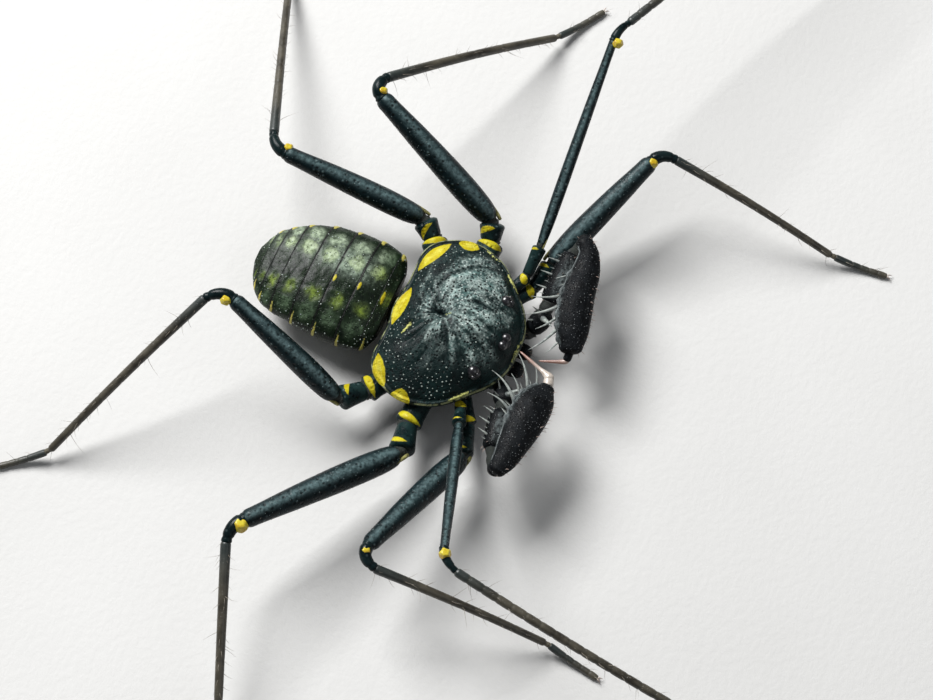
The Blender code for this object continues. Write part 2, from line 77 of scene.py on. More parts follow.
def through(points, t):
    """A smooth curve through (t, value) pairs."""
    last = len(points) - 1
    i = max(0, min(last - 1, sum(1 for p in points if p[0] <= t) - 1))
    (t0, v0), (t1, v1) = points[i], points[i + 1]
    before, after = points[max(0, i - 1)], points[min(last, i + 2)]
    span = t1 - t0
    s = (t - t0) / span
    m0 = (v1 - before[1]) / (t1 - before[0]) * span
    m1 = (after[1] - v0) / (after[0] - t0) * span
    return (
        (2 * s**3 - 3 * s**2 + 1) * v0
        + (s**3 - 2 * s**2 + s) * m0
        + (3 * s**2 - 2 * s**3) * v1
        + (s**3 - s**2) * m1
    )


def bell(off, half):
    """A soft bump: 1 in the middle and falling off over this half width."""
    return math.exp(-((off / half) ** 2))


def unit(value):
    """The value held between 0 and 1."""
    return min(1.0, max(0.0, value))


def rough(point, scale, seed=0.0):
    """Smooth chance from -1 to 1 at a place, with waves of about this many millimetres."""
    return noise.noise(point / scale + Vector((seed, 2.7 * seed, -seed)))


def hoops(rings, sides):
    """The faces of a skin made of rings of points that follow each other."""
    return [
        (i * sides + j, i * sides + (j + 1) % sides,
         (i + 1) * sides + (j + 1) % sides, (i + 1) * sides + j)
        for i in range(rings - 1) for j in range(sides)
    ]


def fan(first, sides, hub):
    """The faces that close a ring of points onto one point."""
    return [(first + j, first + (j + 1) % sides, hub) for j in range(sides)]


def evenly(steps):
    """Shares from 0 to 1 in even steps."""
    return [i / steps for i in range(steps + 1)]


# What a tube tells of each of its points
MEASURES = ("u", "v", "from_start", "from_end", "top", "side")


def tube(path, widths, heights, sides, lean=UP, relief=None):
    """A closed skin round a path, with where each point lies on it as its fields.

    The fields are u round it, v along it, the millimetres from each end, top and side
    from -1 to 1, and lie, the way that a hair there would lean.
    """
    runs = [0.0]
    for here, there in zip(path, path[1:]):
        runs.append(runs[-1] + (there - here).length)
    length = runs[-1]
    form = {key: [] for key in ("points", "lie", *MEASURES)}

    def put(point, turn, run, along):
        """Adds a point that lies at this turn round the path and this far along it."""
        form["points"].append(point)
        form["lie"].append(along)
        measured = (
            turn / math.tau, run / length, run, length - run, math.sin(turn), math.cos(turn))
        for key, value in zip(MEASURES, measured):
            form[key].append(value)

    for i, middle in enumerate(path):
        along = (path[min(i + 1, len(path) - 1)] - path[max(i - 1, 0)]).normalized()
        across = along.cross(lean).normalized()
        over = across.cross(along)
        for j in range(sides):
            turn = math.tau * (j + 0.5) / sides
            wide, high = widths[i], heights[i]
            if relief:
                grow = relief(runs[i], length, turn)
                wide, high = wide * grow, high * grow
            put(middle + across * math.cos(turn) * wide + over * math.sin(turn) * high,
                turn, runs[i], along)
    form["faces"] = hoops(len(path), sides)
    for end, run in ((0, 0.0), (len(path) - 1, length)):
        first = end * sides
        ring = form["points"][first:first + sides]
        form["faces"] += fan(first, sides, len(form["points"]))
        put(sum(ring, Vector()) / sides, math.pi / 2, run, form["lie"][first])
    return form


# Rings of each rounded end of a segment
END_RINGS = 7


def limb(start, end, thick, shape, sides=28, steps=36, deep=1.0, rise=0.0, short=(0, 0),
         relief=None, blunt=0.32):
    """A segment of the outer skeleton between two places, with rounded ends."""
    along = (end - start).normalized()
    length = (end - start).length - sum(short)
    start = start + along * short[0]
    over = along.cross(UP).cross(along).normalized()
    tip = min(blunt * thick, 0.3 * length)
    ends = []
    for k in range(END_RINGS):
        swing = math.pi / 2 * k / END_RINGS
        ends.append((tip * (1 - math.cos(swing)), max(0.06, math.sin(swing) ** 0.7)))
    stations = [(d / length, share) for d, share in ends]
    stations += [
        (tip / length + (1 - 2 * tip / length) * i / steps, 1) for i in range(steps + 1)
    ]
    stations += [(1 - d / length, share) for d, share in reversed(ends)]
    path, halves = [], []
    for t, share in stations:
        path.append(start + along * t * length + over * rise * math.sin(math.pi * t))
        halves.append(through(shape, t) * thick / 2 * share)
    return tube(path, halves, [half * deep for half in halves], sides, relief=relief)


def paint(form, name, rule):
    """A field of the form: one value, or a rule for each point's place and other fields."""
    form[name] = [
        rule(point, **{key: form[key][i] for key in MEASURES if key in form})
        if callable(rule) else rule
        for i, point in enumerate(form["points"])
    ]


def joined(forms):
    """Several forms as one, with the fields that they share."""
    shared = [k for k in forms[0] if k != "faces" and all(k in form for form in forms)]
    whole = {key: [] for key in shared}
    whole["faces"] = []
    for form in forms:
        first = len(whole["points"])
        for key in shared:
            whole[key] += form[key]
        whole["faces"] += [tuple(first + i for i in face) for face in form["faces"]]
    return whole


def skin(name, form, finish=None):
    """A mesh object from a form, with its faces turned outwards and its fields kept."""
    mesh = bpy.data.meshes.new(name)
    mesh.from_pydata([PIT + p * MM for p in form["points"]], [], form["faces"])
    shell = bmesh.new()
    shell.from_mesh(mesh)
    bmesh.ops.recalc_face_normals(shell, faces=shell.faces)
    shell.to_mesh(mesh)
    shell.free()
    for key, values in form.items():
        if key == "lie":
            made = mesh.attributes.new(key, "FLOAT_VECTOR", "POINT")
            made.data.foreach_set("vector", [c for value in values for c in value])
        elif key not in ("points", "faces"):
            mesh.attributes.new(key, "FLOAT", "POINT").data.foreach_set("value", values)
    mesh.shade_smooth()
    if finish:
        mesh.materials.append(finish)
    return placed(name, mesh)


def placed(name, data):
    """A new object of the scene, at the origin."""
    made = bpy.data.objects.new(name, data)
    bpy.context.scene.collection.objects.link(made)
    return made


def wear(made, slot, *nodes):
    """Sets a finished piece on the animal, in the place of these solids."""
    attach(made, "root")
    if nodes:
        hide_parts(*nodes)


def dress(name, form, finish, slot, *nodes):
    """A piece made of a form and set on the animal, in the place of these solids."""
    wear(skin(name, form, finish), slot, *nodes)


def join(value, socket):
    """Sets a socket to a value, or links it to the node that gives the value."""
    value = getattr(value, "socket", value)
    if isinstance(value, bpy.types.NodeSocket):
        socket.id_data.links.new(value, socket)
    else:
        socket.default_value = value


def add(tree, kind, sockets=None, **settings):
    """A node with its settings made and its sockets set or linked."""
    made = tree.nodes.new(kind if "Node" in kind else "ShaderNode" + kind)
    for key, value in settings.items():
        setattr(made, key, value)
    for key, value in (sockets or {}).items():
        join(value, made.inputs[key])
    return made


class Value:
    """A value that a node gives, on which sums work as they do on a number."""

    def __init__(self, socket):
        self.socket = socket

    def sum(self, other, operation):
        """This value and another put together by this operation."""
        tree = self.socket.id_data
        return Value(add(tree, "Math", {0: self, 1: other}, operation=operation).outputs[0])

    def __mul__(self, other):
        return self.sum(other, "MULTIPLY")

    def __add__(self, other):
        return self.sum(other, "ADD")

    def __sub__(self, other):
        return self.sum(other, "SUBTRACT")


def between(value, low_end, high_end):
    """How far a value lies from the low end to the high end, as 0 to 1, eased."""
    made = add(value.socket.id_data, "MapRange",
               {"Value": value, "From Min": low_end, "From Max": high_end},
               interpolation_type="SMOOTHSTEP")
    return Value(made.outputs["Result"])


def blend(share, one, other):
    """One colour over to the other, by a share from 0 to 1."""
    made = add(share.socket.id_data, "Mix", {"Factor": share}, data_type="RGBA")
    for socket, colour in ((made.inputs[6], one), (made.inputs[7], other)):
        join((*colour, 1) if isinstance(colour, tuple) else colour, socket)
    return made.outputs[2]


class Nodes:
    """A tree of shader nodes, with what the looks are mixed from."""

    def __init__(self, tree):
        self.tree = tree

    def use(self, effect, **values):
        """A shared effect placed in this tree, with its own values."""
        made = add(self.tree, "Group", node_tree=effect.tree)
        for key, value in values.items():
            made.inputs[key.replace("_", " ")].default_value = value
        return made.outputs

    def texture(self, kind, size, **sockets):
        """A texture of the piece's own coordinates, with waves or cells of this size in mm."""
        density = add(self.tree, "Math", {0: 1 / MM, 1: size}, operation="DIVIDE")
        place = add(self.tree, "TexCoord").outputs["Object"]
        return add(self.tree, kind, {"Vector": place, "Scale": density.outputs[0], **sockets})

    def field(self, name):
        """The value of a painted field."""
        return Value(add(self.tree, "Attribute", attribute_name=name).outputs["Fac"])

    def mottled(self, size, detail=3.0):
        """Cloudy chance from 0 to 1, in clouds of this many millimetres."""
        return Value(self.use(mottle, Size_mm=size, Detail=detail)["Cloud"])

    def dots(self, apart, wide, some=None):
        """Round dots this far apart. With a range of chance, only some of them show."""
        made = self.use(granules, Apart_mm=apart, Round=wide)
        dot = Value(made["Knob"])
        return dot * between(Value(made["Chance"]), *some) if some else dot


class Look(Nodes):
    """A material in the making, with colours laid one over the other."""

    def __init__(self, name, roughness=0.45, coat=0.0, specular=0.5):
        self.finish = bpy.data.materials.new(name)
        self.finish.use_nodes = True
        super().__init__(self.finish.node_tree)
        self.shader = self.tree.nodes["Principled BSDF"].inputs
        for key, value in (("Roughness", roughness), ("Coat Weight", coat),
                           ("Coat Roughness", 0.25), ("Specular IOR Level", specular)):
            self.shader[key].default_value = value

    def lay(self, share, colour):
        """Lays a colour over those so far, by a share from 0 to 1."""
        self.colour = blend(share, self.colour, colour)

    def mark(self, ragged=0.05):
        """Lays the yellow skin over the rest, with an edge that strays this far in mm."""
        marking = self.use(yellow_skin, Ragged_mm=ragged)
        self.lay(Value(marking["Mask"]), marking["Colour"])

    def done(self, height, depth, gloss=None, low_end=0.0, high_end=1.0):
        """The material: its bumps this many mm deep, its roughness between two ends."""
        join(self.colour, self.shader["Base Color"])
        bump = add(self.tree, "Bump", {"Height": height, "Distance": depth * MM, "Strength": 1.0})
        join(bump.outputs["Normal"], self.shader["Normal"])
        if gloss:
            range_of = {"Value": gloss, "To Min": low_end, "To Max": high_end}
            join(add(self.tree, "MapRange", range_of).outputs[0], self.shader["Roughness"])
        return self.finish


def effect(name, inputs, outputs):
    """A new shader node group with these sockets, as its nodes, inputs and outputs."""
    tree = bpy.data.node_groups.new(name, "ShaderNodeTree")
    for key, value in inputs:
        socket = tree.interface.new_socket(key, in_out="INPUT", socket_type="NodeSocketFloat")
        socket.default_value = value
    for key, kind in outputs:
        tree.interface.new_socket(key, in_out="OUTPUT", socket_type="NodeSocket" + kind)
    given = tree.nodes.new("NodeGroupInput").outputs
    return Nodes(tree), given, tree.nodes.new("NodeGroupOutput").inputs


# Granules: small round knobs or pits a set distance apart, each a little different
granules, given, result = effect(
    "granules", (("Apart mm", 0.3), ("Round", 0.3)), (("Knob", "Float"), ("Chance", "Float"))
)
cells = granules.texture("TexVoronoi", given["Apart mm"], Randomness=0.85)
knob = add(granules.tree, "MapRange", {"Value": cells.outputs["Distance"],
                                       "From Min": given["Round"], "From Max": 0.0},
           interpolation_type="SMOOTHSTEP")
join(knob.outputs[0], result["Knob"])
chance = add(granules.tree, "SeparateColor", {0: cells.outputs["Color"]})
join(chance.outputs[0], result["Chance"])

# Mottle: cloudy chance from 0 to 1 at a set size
mottle, given, result = effect("mottle", (("Size mm", 1.0), ("Detail", 3.0)), (("Cloud", "Float"),))
clouds = mottle.texture("TexNoise", given["Size mm"], Detail=given["Detail"], Roughness=0.6)
join(between(Value(clouds.outputs[0]), 0.3, 0.7), result["Cloud"])

# Yellow skin: a mask from the painted field, with a ragged edge, and its streaked colour,
# with a painted highlight in the heart of each patch
yellow_skin, given, result = effect(
    "yellow skin", (("Ragged mm", 0.05),), (("Mask", "Float"), ("Colour", "Color"))
)
inside = yellow_skin.field("yellow")
wobble = (yellow_skin.mottled(0.22, 2.0) - 0.5) * given["Ragged mm"]
join(between(inside + wobble, 0.03, 0.09), result["Mask"])
streaks = yellow_skin.mottled(0.5, 4.0)
rich = blend(streaks, (0.46, 0.35, 0.006), (0.58, 0.52, 0.020))
rich = blend(yellow_skin.mottled(0.12) * 0.3, rich, (0.30, 0.26, 0.01))
# Painted highlight: a paler streaked heart inside each yellow patch
rich = blend(between(inside, 0.22, 0.5) * streaks * 0.4, rich, (0.74, 0.70, 0.18))
join(blend(between(inside, 0.02, 0.14), (0.34, 0.30, 0.03), rich), result["Colour"])


def leg_skin(name, base, tint, roughness=0.36, pitted=0.92, relief=0.08):
    """Hard leg skin: blue-green black with black pits, pale granules and yellow ends, and a
    painted highlight along the top where its field is set.
    """
    look = Look(name, roughness, coat=0.04, specular=0.11)
    cloud, powder = look.mottled(1.1), look.mottled(0.3, 4.0)
    pits, pale = look.dots(0.4, 0.44, (0.2, 0.4)), look.dots(0.47, 0.32, (0.3, 0.5))
    look.colour = blend(cloud, base, tint)
    # Painted highlight: a pale blue-green stripe along the top, broken by the powder
    look.lay(look.field("bloom") * (powder + 0.35), (0.10, 0.155, 0.16))
    look.lay(pale * (0.75 * pitted), (0.12, 0.175, 0.18))
    look.lay(pits * pitted, (0.001, 0.002, 0.003))
    look.mark()
    height = pale * 0.6 - pits * 0.7 + look.dots(0.085, 0.7) * 0.15
    return look.done(height, relief, cloud, roughness - 0.07, roughness + 0.1)


COXA_SKIN = leg_skin("coxa skin", (0.003, 0.010, 0.011), (0.013, 0.033, 0.032), 0.3)
# Where the first joint of each limb ends, and how thick it is
COXA_ENDS = {
    ("1", "left"): ((4.15, 6.1, 2.98), 0.9),
    ("1", "right"): ((3.95, -5.3, 2.93), 0.9),
    ("2", "left"): ((4.8, 5.7, 2.0), 1.2),
    ("2", "right"): ((4.75, -5.8, 2.0), 1.2),
    ("3", "left"): ((0.56, 7.66, 2.45), 1.95),
    ("3", "right"): ((0.8, -7.76, 2.45), 1.95),
    ("4", "left"): ((-3.35, 6.2, 2.45), 1.9),
    ("4", "right"): ((-3.0, -6.55, 2.45), 1.9),
    ("palp", "left"): ((5.45, 2.1, 2.35), 1.5),
    ("palp", "right"): ((5.45, -2.1, 2.35), 1.5),
}
COXA_SHAPE = ((0, 0.7), (0.5, 0.95), (0.84, 0.97), (0.94, 1.05), (1, 1.03))
# How far the flared lip stands past that end
COXA_LIP = 0.2


def crescent(wide, back=0.0):
    """A yellow lens across the top of a segment's outer end, with a point on each side."""

    def rule(point, from_end, top, side, **_):
        lens = wide / 2 * max(0.0, top) ** 1.1 * (1 + 0.25 * side)
        return lens - abs(from_end - back - wide / 2 - 0.12 * side) if top > 0 else -1.0

    return rule


for (pair, side), ((forward, left, up), thick) in COXA_ENDS.items():
    inner = at(CENTRE + 0.25 * (forward - CENTRE), left * 0.3, 2.35)
    outer = at(forward, left, up)
    outer += (outer - inner).normalized() * COXA_LIP
    form = limb(inner, outer, thick, COXA_SHAPE, deep=0.95, steps=44, blunt=0.14)
    paint(form, "yellow", crescent(0.1 if pair == "palp" else 0.7, 0.02))
    dress(f"coxa_{pair}_{side}", form, COXA_SKIN, "underside", "underside")

BELLY_SKIN = leg_skin("breastplate skin", (0.020, 0.026, 0.019), (0.045, 0.052, 0.034), 0.5)
core = limb(at(-2.3, 0, 2.35), at(4.9, 0, 2.35), 7.4, ((0, 0.8), (0.45, 1), (1, 0.75)),
            sides=48, steps=30, deep=0.24)
dress("breast_membrane", core, BELLY_SKIN, "underside", "underside")
# Knobs of the breastplate: forward, width and length of each
for i, (forward, wide, long) in enumerate(((3.7, 0.9, 1.6), (1.7, 1.3, 1.0), (-0.2, 1.2, 0.9))):
    plate = limb(at(forward - long / 2, 0, 1.56), at(forward + long / 2, 0, 1.56), wide,
                 ((0, 0.8), (0.4, 1), (1, 0.6)), steps=16, deep=0.3)
    dress(f"breastplate_knob_{i + 1}", plate, COXA_SKIN, "underside", "underside")

# THE CARAPACE
# One low dome of hard skin, wider than long, with a pit, furrows that fan out from it
# and a fine raised rim. It is blue-green black with a silvery bloom, laid heavier on the
# left partly as painted light, and yellow patches.

# Heights of the rim's foot, of the rim itself and of the dome over it
RIM_UP, RIM, RISE = 3.6, 0.3, 2.35
# Heights of its side wall, from the turned-under rim to where the top begins, and those
# above which its stripes and its pale knobs lie
WALL_LOW, WALL_HIGH = 3.7, 3.95
STRIPES_ABOVE, KNOBS_ABOVE = 3.62, 3.85
# How far the rim lies from the middle at each heading
OUTLINE = (
    (0, 4.95), (20, 5.1), (40, 5.2), (54, 5.3), (66, 5.65), (80, 6.25), (92, 6.65), (104, 6.98),
    (117, 7.05), (128, 6.95), (137, 6.5), (146, 5.7), (156, 5.15), (167, 4.93), (180, 4.95),
)
# Headings of the broad furrows from the pit
FURROWS = (62, 88, 112, 138)
# Fine grooves from the pit: start, end, depth and half width
GROOVES = (
    ((0.45, -0.1), (4.1, 0.0), 0.07, 0.09),
    ((-0.35, 0.15), (-1.15, 1.35), 0.16, 0.2),
    ((-0.35, -0.15), (-1.7, -1.25), 0.14, 0.14),
    ((-0.4, -0.05), (-2.6, -0.2), 0.08, 0.08),
    ((0.5, 0.3), (2.6, 2.3), 0.06, 0.12),
    ((0.5, -0.3), (2.4, -2.4), 0.06, 0.12),
    ((0.1, 0.5), (0.5, 3.6), 0.06, 0.1),
    ((0.1, -0.5), (0.6, -3.7), 0.06, 0.1),
)
# Middles of the eyes' mounds, forward and left
MEDIAN_EYES, LATERAL_EYES = (5.0, 0.0), (4.0, 3.0)
# Yellow patches of the margin: one end, other end, half width on each side
PATCHES = (
    ((-3.05, 1.5), (-3.2, -1.8), 0.6, 0.5),
    ((-1.8, 6.0), (-3.2, 2.85), 0.7, 0.5),
    ((0.3, 6.35), (-1.4, 6.3), 0.6, 0.6),
    ((0.5, -6.7), (-1.2, -6.9), 0.75, 0.6),
    ((-1.7, -6.4), (-3.2, -4.2), 0.32, 0.7),
)
# Thin pale stripes of the margin, in the same terms
STRIPES = (
    ((6.05, 1.2), (6.02, -1.2), 0.1, 0.08),
    ((4.3, -4.1), (2.9, -5.6), 0.16, 0.2),
    ((4.4, 4.3), (2.9, 5.5), 0.12, 0.15),
    ((2.15, 6.05), (0.4, 6.7), 0.1, 0.1),
    ((-1.75, -1.2), (-2.1, -2.5), 0.17, 0.14),
    ((0.8, 0.16), (0.35, -0.04), 0.07, 0.07),
)


def beside(forward, left, start, end):
    """How far along a line a place lies, as a share, how far off it, and the line's length."""
    df, dl = end[0] - start[0], end[1] - start[1]
    span = math.hypot(df, dl)
    along = (forward - start[0]) * df + (left - start[1]) * dl
    return along / span**2, ((forward - start[0]) * dl - (left - start[1]) * df) / span, span


def leaf(forward, left, shapes):
    """How deep a place lies inside the nearest leaf shape, negative outside them."""
    best = -9.0
    for start, end, one, other in shapes:
        t, off, span = beside(forward, left, start, end)
        if 0 < t < 1:
            half = (one if off > 0 else other) * math.sin(math.pi * t) ** 0.7
            best = max(best, half - abs(off))
        else:
            best = max(best, -max(-t, t - 1) * span - abs(off) - 0.01)
    return best


def reach(heading):
    """How far the rim lies from the centre of the carapace at this heading."""
    heading = abs((heading + 180) % 360 - 180)
    return through(((-20, 5.1), *OUTLINE, (193, 4.93)), heading)


def carapace_top(forward, left):
    """How high the carapace is at this place, before its fine relief."""
    out = forward - CENTRE
    share = min(1.0, math.hypot(out, left) / reach(math.degrees(math.atan2(left, out))))
    head = 0.32 * math.exp(-((forward - 3.6) ** 2) / 3.0 - left**2 / 5.0)
    pit = 0.42 * math.exp(-(forward**2 + (left * 0.8) ** 2) / 0.35)
    run = 0.16 * math.exp(-((math.hypot(forward, left) - 2.6) ** 2) / 3.6)
    around = abs(math.degrees(math.atan2(left, forward)))
    furrows = sum(run * bell(around - h, 7) for h in FURROWS)
    rise = RISE * (1 - share**2.3) + (head - pit - furrows) * (1 - share**4)
    return RIM_UP + RIM + rise


def swirl(forward, left, fine):
    """Streaks that fan out from the pit and curve toward the front on the left side."""
    away, around = math.hypot(forward, left), math.atan2(left, forward)
    around += (0.14 + 0.09 * math.tanh(left)) * away
    wide = noise.noise(Vector((around * 5, away * 0.35, 3.0)))
    return wide + fine * noise.noise(Vector((around * 10, away * 0.7, 8.0)))


def carapace_relief(forward, left, from_rim):
    """The fine relief: the raised rim, grooves, wrinkles and the mounds of the eyes."""
    up = 0.07 * bell(from_rim - 0.1, 0.08)
    up -= 0.09 * bell(from_rim - 0.34, 0.13)
    up -= 0.3 * bell(forward, 0.34) * bell(left, 0.15)
    for start, end, deep, half in GROOVES:
        t, off, _ = beside(forward, left, start, end)
        if -0.1 < t < 1.1:
            fade = math.sin(math.pi * unit(0.08 + 0.84 * t))
            up -= deep * fade * bell(off, half)
    away = math.hypot(forward, left)
    fan = swirl(forward, left, 0.35) * math.exp(-((away - 2.8) ** 2) / 6.0)
    up += 0.15 * fan * min(1, from_rim)
    up += 0.03 * noise.noise(Vector((forward, left, 1.0)) * 1.8)
    mounds = ((MEDIAN_EYES, 0.26, 0.5), (LATERAL_EYES, 0.16, 0.4),
              ((LATERAL_EYES[0], -LATERAL_EYES[1]), 0.16, 0.4))
    for (f, l), high_up, wide in mounds:
        up += high_up * math.exp(-((forward - f) ** 2 + (left - l) ** 2) / wide)
    return up


SPOKES, RINGS = 360, 84
rows = []
for ring in range(1, RINGS + 1):
    share = math.sin(math.pi / 2 * ring / RINGS) ** 1.15
    row = []
    for spoke in range(SPOKES):
        heading = 360 * spoke / SPOKES
        far = reach(heading)
        spot = at(CENTRE, 0, 0) + toward(heading) * far * share
        forward, left = -spot.y, spot.x
        from_rim = (1 - share) * far
        spot.z = carapace_top(forward, left) + carapace_relief(forward, left, from_rim)
        row.append(spot)
    rows.append(row)
# The rim turns under, and the flat below closes it
UNDERSIDE = (
    (0.05, 3.86), (0.07, 3.76), (0.04, 3.66), (-0.06, 3.61), (-0.5, RIM_UP), (-2.5, RIM_UP),
)
for out, up in UNDERSIDE:
    row = []
    for spoke in range(SPOKES):
        heading = 360 * spoke / SPOKES
        row.append(at(CENTRE, 0, up) + toward(heading) * (reach(heading) + out))
    rows.append(row)
form = {"points": [p for row in rows for p in row], "faces": hoops(len(rows), SPOKES)}
top = carapace_top(CENTRE, 0) + carapace_relief(CENTRE, 0, 4.9)
for first, up in ((0, top), ((len(rows) - 1) * SPOKES, RIM_UP)):
    form["faces"] += fan(first, SPOKES, len(form["points"]))
    form["points"].append(at(CENTRE, 0, up))


def spread(rule):
    """A field of the carapace by forward, left and height."""
    return [rule(-p.y, p.x, p.z) for p in form["points"]]


def rim_distance(forward, left):
    """How far inside the rim this place lies."""
    out = forward - CENTRE
    return reach(math.degrees(math.atan2(left, out))) - math.hypot(out, left)


# Drifts of the bloom, heavier on the left partly as painted light: forward, left, half length,
# half width and strength of each
DRIFTS = (
    (0.4, 2.6, 1.5, 2.5, 0.98), (2.5, 3.6, 1.4, 1.8, 0.85), (2.9, 0.5, 1.5, 1.9, 0.8),
    (0.1, -1.3, 0.6, 1.0, 0.85), (-1.2, 0.1, 0.55, 1.1, 0.7), (1.5, -1.9, 1.3, 1.0, 0.5),
    (-2.2, 2.4, 0.28, 1.6, 0.5), (1.0, 5.0, 1.7, 0.8, 0.55), (-0.3, -4.0, 1.8, 1.7, 0.16),
    (3.9, -1.7, 1.1, 1.2, 0.65), (4.3, 1.9, 0.6, 1.2, 0.6), (2.2, 1.4, 3.2, 3.6, 0.45),
)
# Bare places in it: forward, left, half length, half width and strength of each
BARE = (
    (5.1, -0.1, 0.8, 1.0, 0.97), (4.35, 3.75, 0.6, 1.1, 0.95), (4.3, -3.7, 0.8, 1.0, 0.97),
    (3.8, 0.15, 0.6, 0.22, 0.6), (2.5, 1.6, 0.7, 0.25, 0.45), (2.1, -1.2, 0.8, 0.25, 0.45),
    (0.7, -2.2, 0.3, 1.2, 0.5), (-0.7, 0.75, 0.25, 0.9, 0.6),
)


def spared(forward, left, spots, power=1.0):
    """The share of 1 that these soft spots leave here."""
    share = 1.0
    for f, l, long, wide, strength in spots:
        off = ((forward - f) / long) ** 2 + ((left - l) / wide) ** 2
        share *= 1 - strength * math.exp(-(off**power))
    return share


def bloom(forward, left, up):
    """How thickly the silvery dusting lies here, in streaks that fan out from the pit, heavier
    on the left partly as painted light.
    """
    drifts = 1 - spared(forward, left, DRIFTS)
    edge = unit((rim_distance(forward, left) - 0.3) / 0.7)
    pit = 1 - bell(forward, 0.42) * bell(left, 0.24)
    streak = swirl(forward, left, 0.5) + 0.4 * noise.noise(Vector((forward, left, 4.0)) * 2.2)
    shown = drifts * edge * spared(forward, left, BARE, 1.4) * pit
    return max(0.0, shown * (0.84 + 0.9 * streak))


def knobs(forward, left, up):
    """How thickly the pale knobs stand: on the sides and the rear fields only."""
    if up < KNOBS_ABOVE:
        return 0.0
    rim = rim_distance(forward, left)
    if rim < 0.35 or leaf(forward, left, PATCHES) > -0.12 or forward > 3.6:
        return 0.0
    band = max(0.0, 1 - max(0.0, rim - 1.2) / (3.0 if left < 0 else 1.0))
    rear = unit((-forward - 0.9) / 0.8)
    return min(1.0, max(band, rear)) * (1.0 if left < 0 or forward < -0.5 else 0.7)


form["yellow"] = spread(lambda f, l, up: leaf(f, l, PATCHES) if up > WALL_LOW else -1.0)
form["stripe"] = spread(lambda f, l, up: leaf(f, l, STRIPES) if up > STRIPES_ABOVE else -1.0)
form["from_rim"] = spread(lambda f, l, up: rim_distance(f, l))
form["bloom"] = spread(bloom)
form["thick_set"] = spread(knobs)
form["lie"] = [UP] * len(form["points"])
# The skin unwraps by its own spokes and rings
form["u"] = [spoke / SPOKES for _ in rows for spoke in range(SPOKES)] + [0.5, 0.5]
form["v"] = [ring / len(rows) for ring in range(len(rows)) for _ in range(SPOKES)] + [0.0, 1.0]

look = Look("carapace skin", 0.38, coat=0.06, specular=0.13)
powder, drifts, bloom_and_sheen_share = look.mottled(0.2, 4.0), look.mottled(0.8), look.field("bloom")
look.colour = blend(look.mottled(1.6, 4.0), (0.002, 0.007, 0.007), (0.006, 0.020, 0.019))
dusted_and_lit = bloom_and_sheen_share * (drifts * 0.5 + 0.65) * (powder * 0.5 + 0.55)
# The silvery bloom, laid heavier on the left partly as painted light
look.lay(between(dusted_and_lit, 0.05, 1.0), blend(drifts, (0.13, 0.24, 0.225), (0.37, 0.45, 0.42)))
salt = look.dots(0.19, 0.55, (0.45, 0.6)) * between(bloom_and_sheen_share, 0.1, 0.8)
look.lay(salt * 0.9, (0.66, 0.74, 0.70))
pepper = between(look.dots(0.25, 0.58, (0.3, 0.4)), 0.15, 0.6)
look.lay(pepper * 0.95, (0.002, 0.005, 0.005))
look.lay(look.dots(0.13, 0.6, (0.5, 0.6)) * 0.8, (0.004, 0.010, 0.010))
on_rim = between(look.field("from_rim"), 0.1, 0.03) * between(look.field("from_rim"), -0.05, -0.01)
look.lay(on_rim * (between(drifts, 0.2, 0.7) * 0.85), (0.38, 0.41, 0.21))
stripe = between(look.field("stripe") + (powder - 0.5) * 0.16, 0.0, 0.12)
look.lay(stripe * 0.9, (0.54, 0.55, 0.17))
look.mark()
height = salt * 0.5 - pepper * 0.6 + look.dots(0.11, 0.65) * 0.3 + powder * 0.25
CARAPACE_SKIN = look.done(height, 0.06, powder, 0.36, 0.52)

dress("carapace_shell", form, CARAPACE_SKIN, "carapace", "carapace")

# Pale knobs of the carapace, set in its skin


def sprout(sides, rows, place, tip):
    """A small closed shape of rings that end in a tip, in millimetres."""
    points = [place(i / rows, math.tau * j / sides) for i in range(rows) for j in range(sides)]
    faces = hoops(rows, sides) + fan((rows - 1) * sides, sides, rows * sides)
    return {"points": points + [Vector(tip)], "faces": faces + [tuple(reversed(range(sides)))]}


def dome(sides=8, rows=3):
    """A low round knob of unit radius."""

    def place(t, turn):
        wide, high = math.cos(math.pi / 2 * t), math.sin(math.pi / 2 * t)
        return Vector((math.cos(turn) * wide, math.sin(turn) * wide, 0.8 * high - 0.1))

    return sprout(sides, rows, place, (0, 0, 0.7))


def bristle(bend=0.25, thick=0.05):
    """A fine hair of unit length that bends over."""

    def place(t, turn):
        half = thick / 2 * (1 - t) ** 0.7
        return Vector((bend * t * t + half * math.cos(turn), half * math.sin(turn), t - 0.04))

    return sprout(4, 4, place, (bend, 0, 0.96))


def grain_object(name, shape):
    """One knob or hair as an object at the origin, for a growth to repeat."""
    mesh = bpy.data.meshes.new(name)
    mesh.from_pydata([p * MM for p in shape["points"]], [], shape["faces"])
    own = mesh.attributes.new("own", "FLOAT_VECTOR", "POINT")
    own.data.foreach_set("vector", [c for p in shape["points"] for c in (p.x, p.z, 0)])
    mesh.shade_smooth()
    return bpy.data.objects.new(name, mesh)


FULL_TURN = 6.283
growth = bpy.data.node_groups.new("growth", "GeometryNodeTree")
SOCKETS = {
    "Skin": "Geometry", "Grain": "Object", "Per Square Millimetre": "Float",
    "Apart": "Float", "Smallest": "Float", "Largest": "Float", "Lean": "Float",
    "Seed": "Int", "Finish": "Material",
}
for key, kind in SOCKETS.items():
    growth.interface.new_socket(key, in_out="INPUT", socket_type="NodeSocket" + kind)
growth.interface.new_socket("Grown", in_out="OUTPUT", socket_type="NodeSocketGeometry")


def step(kind, sockets, **settings):
    """A node of the growth, as the sockets that it gives."""
    return add(growth, kind, sockets, **settings).outputs


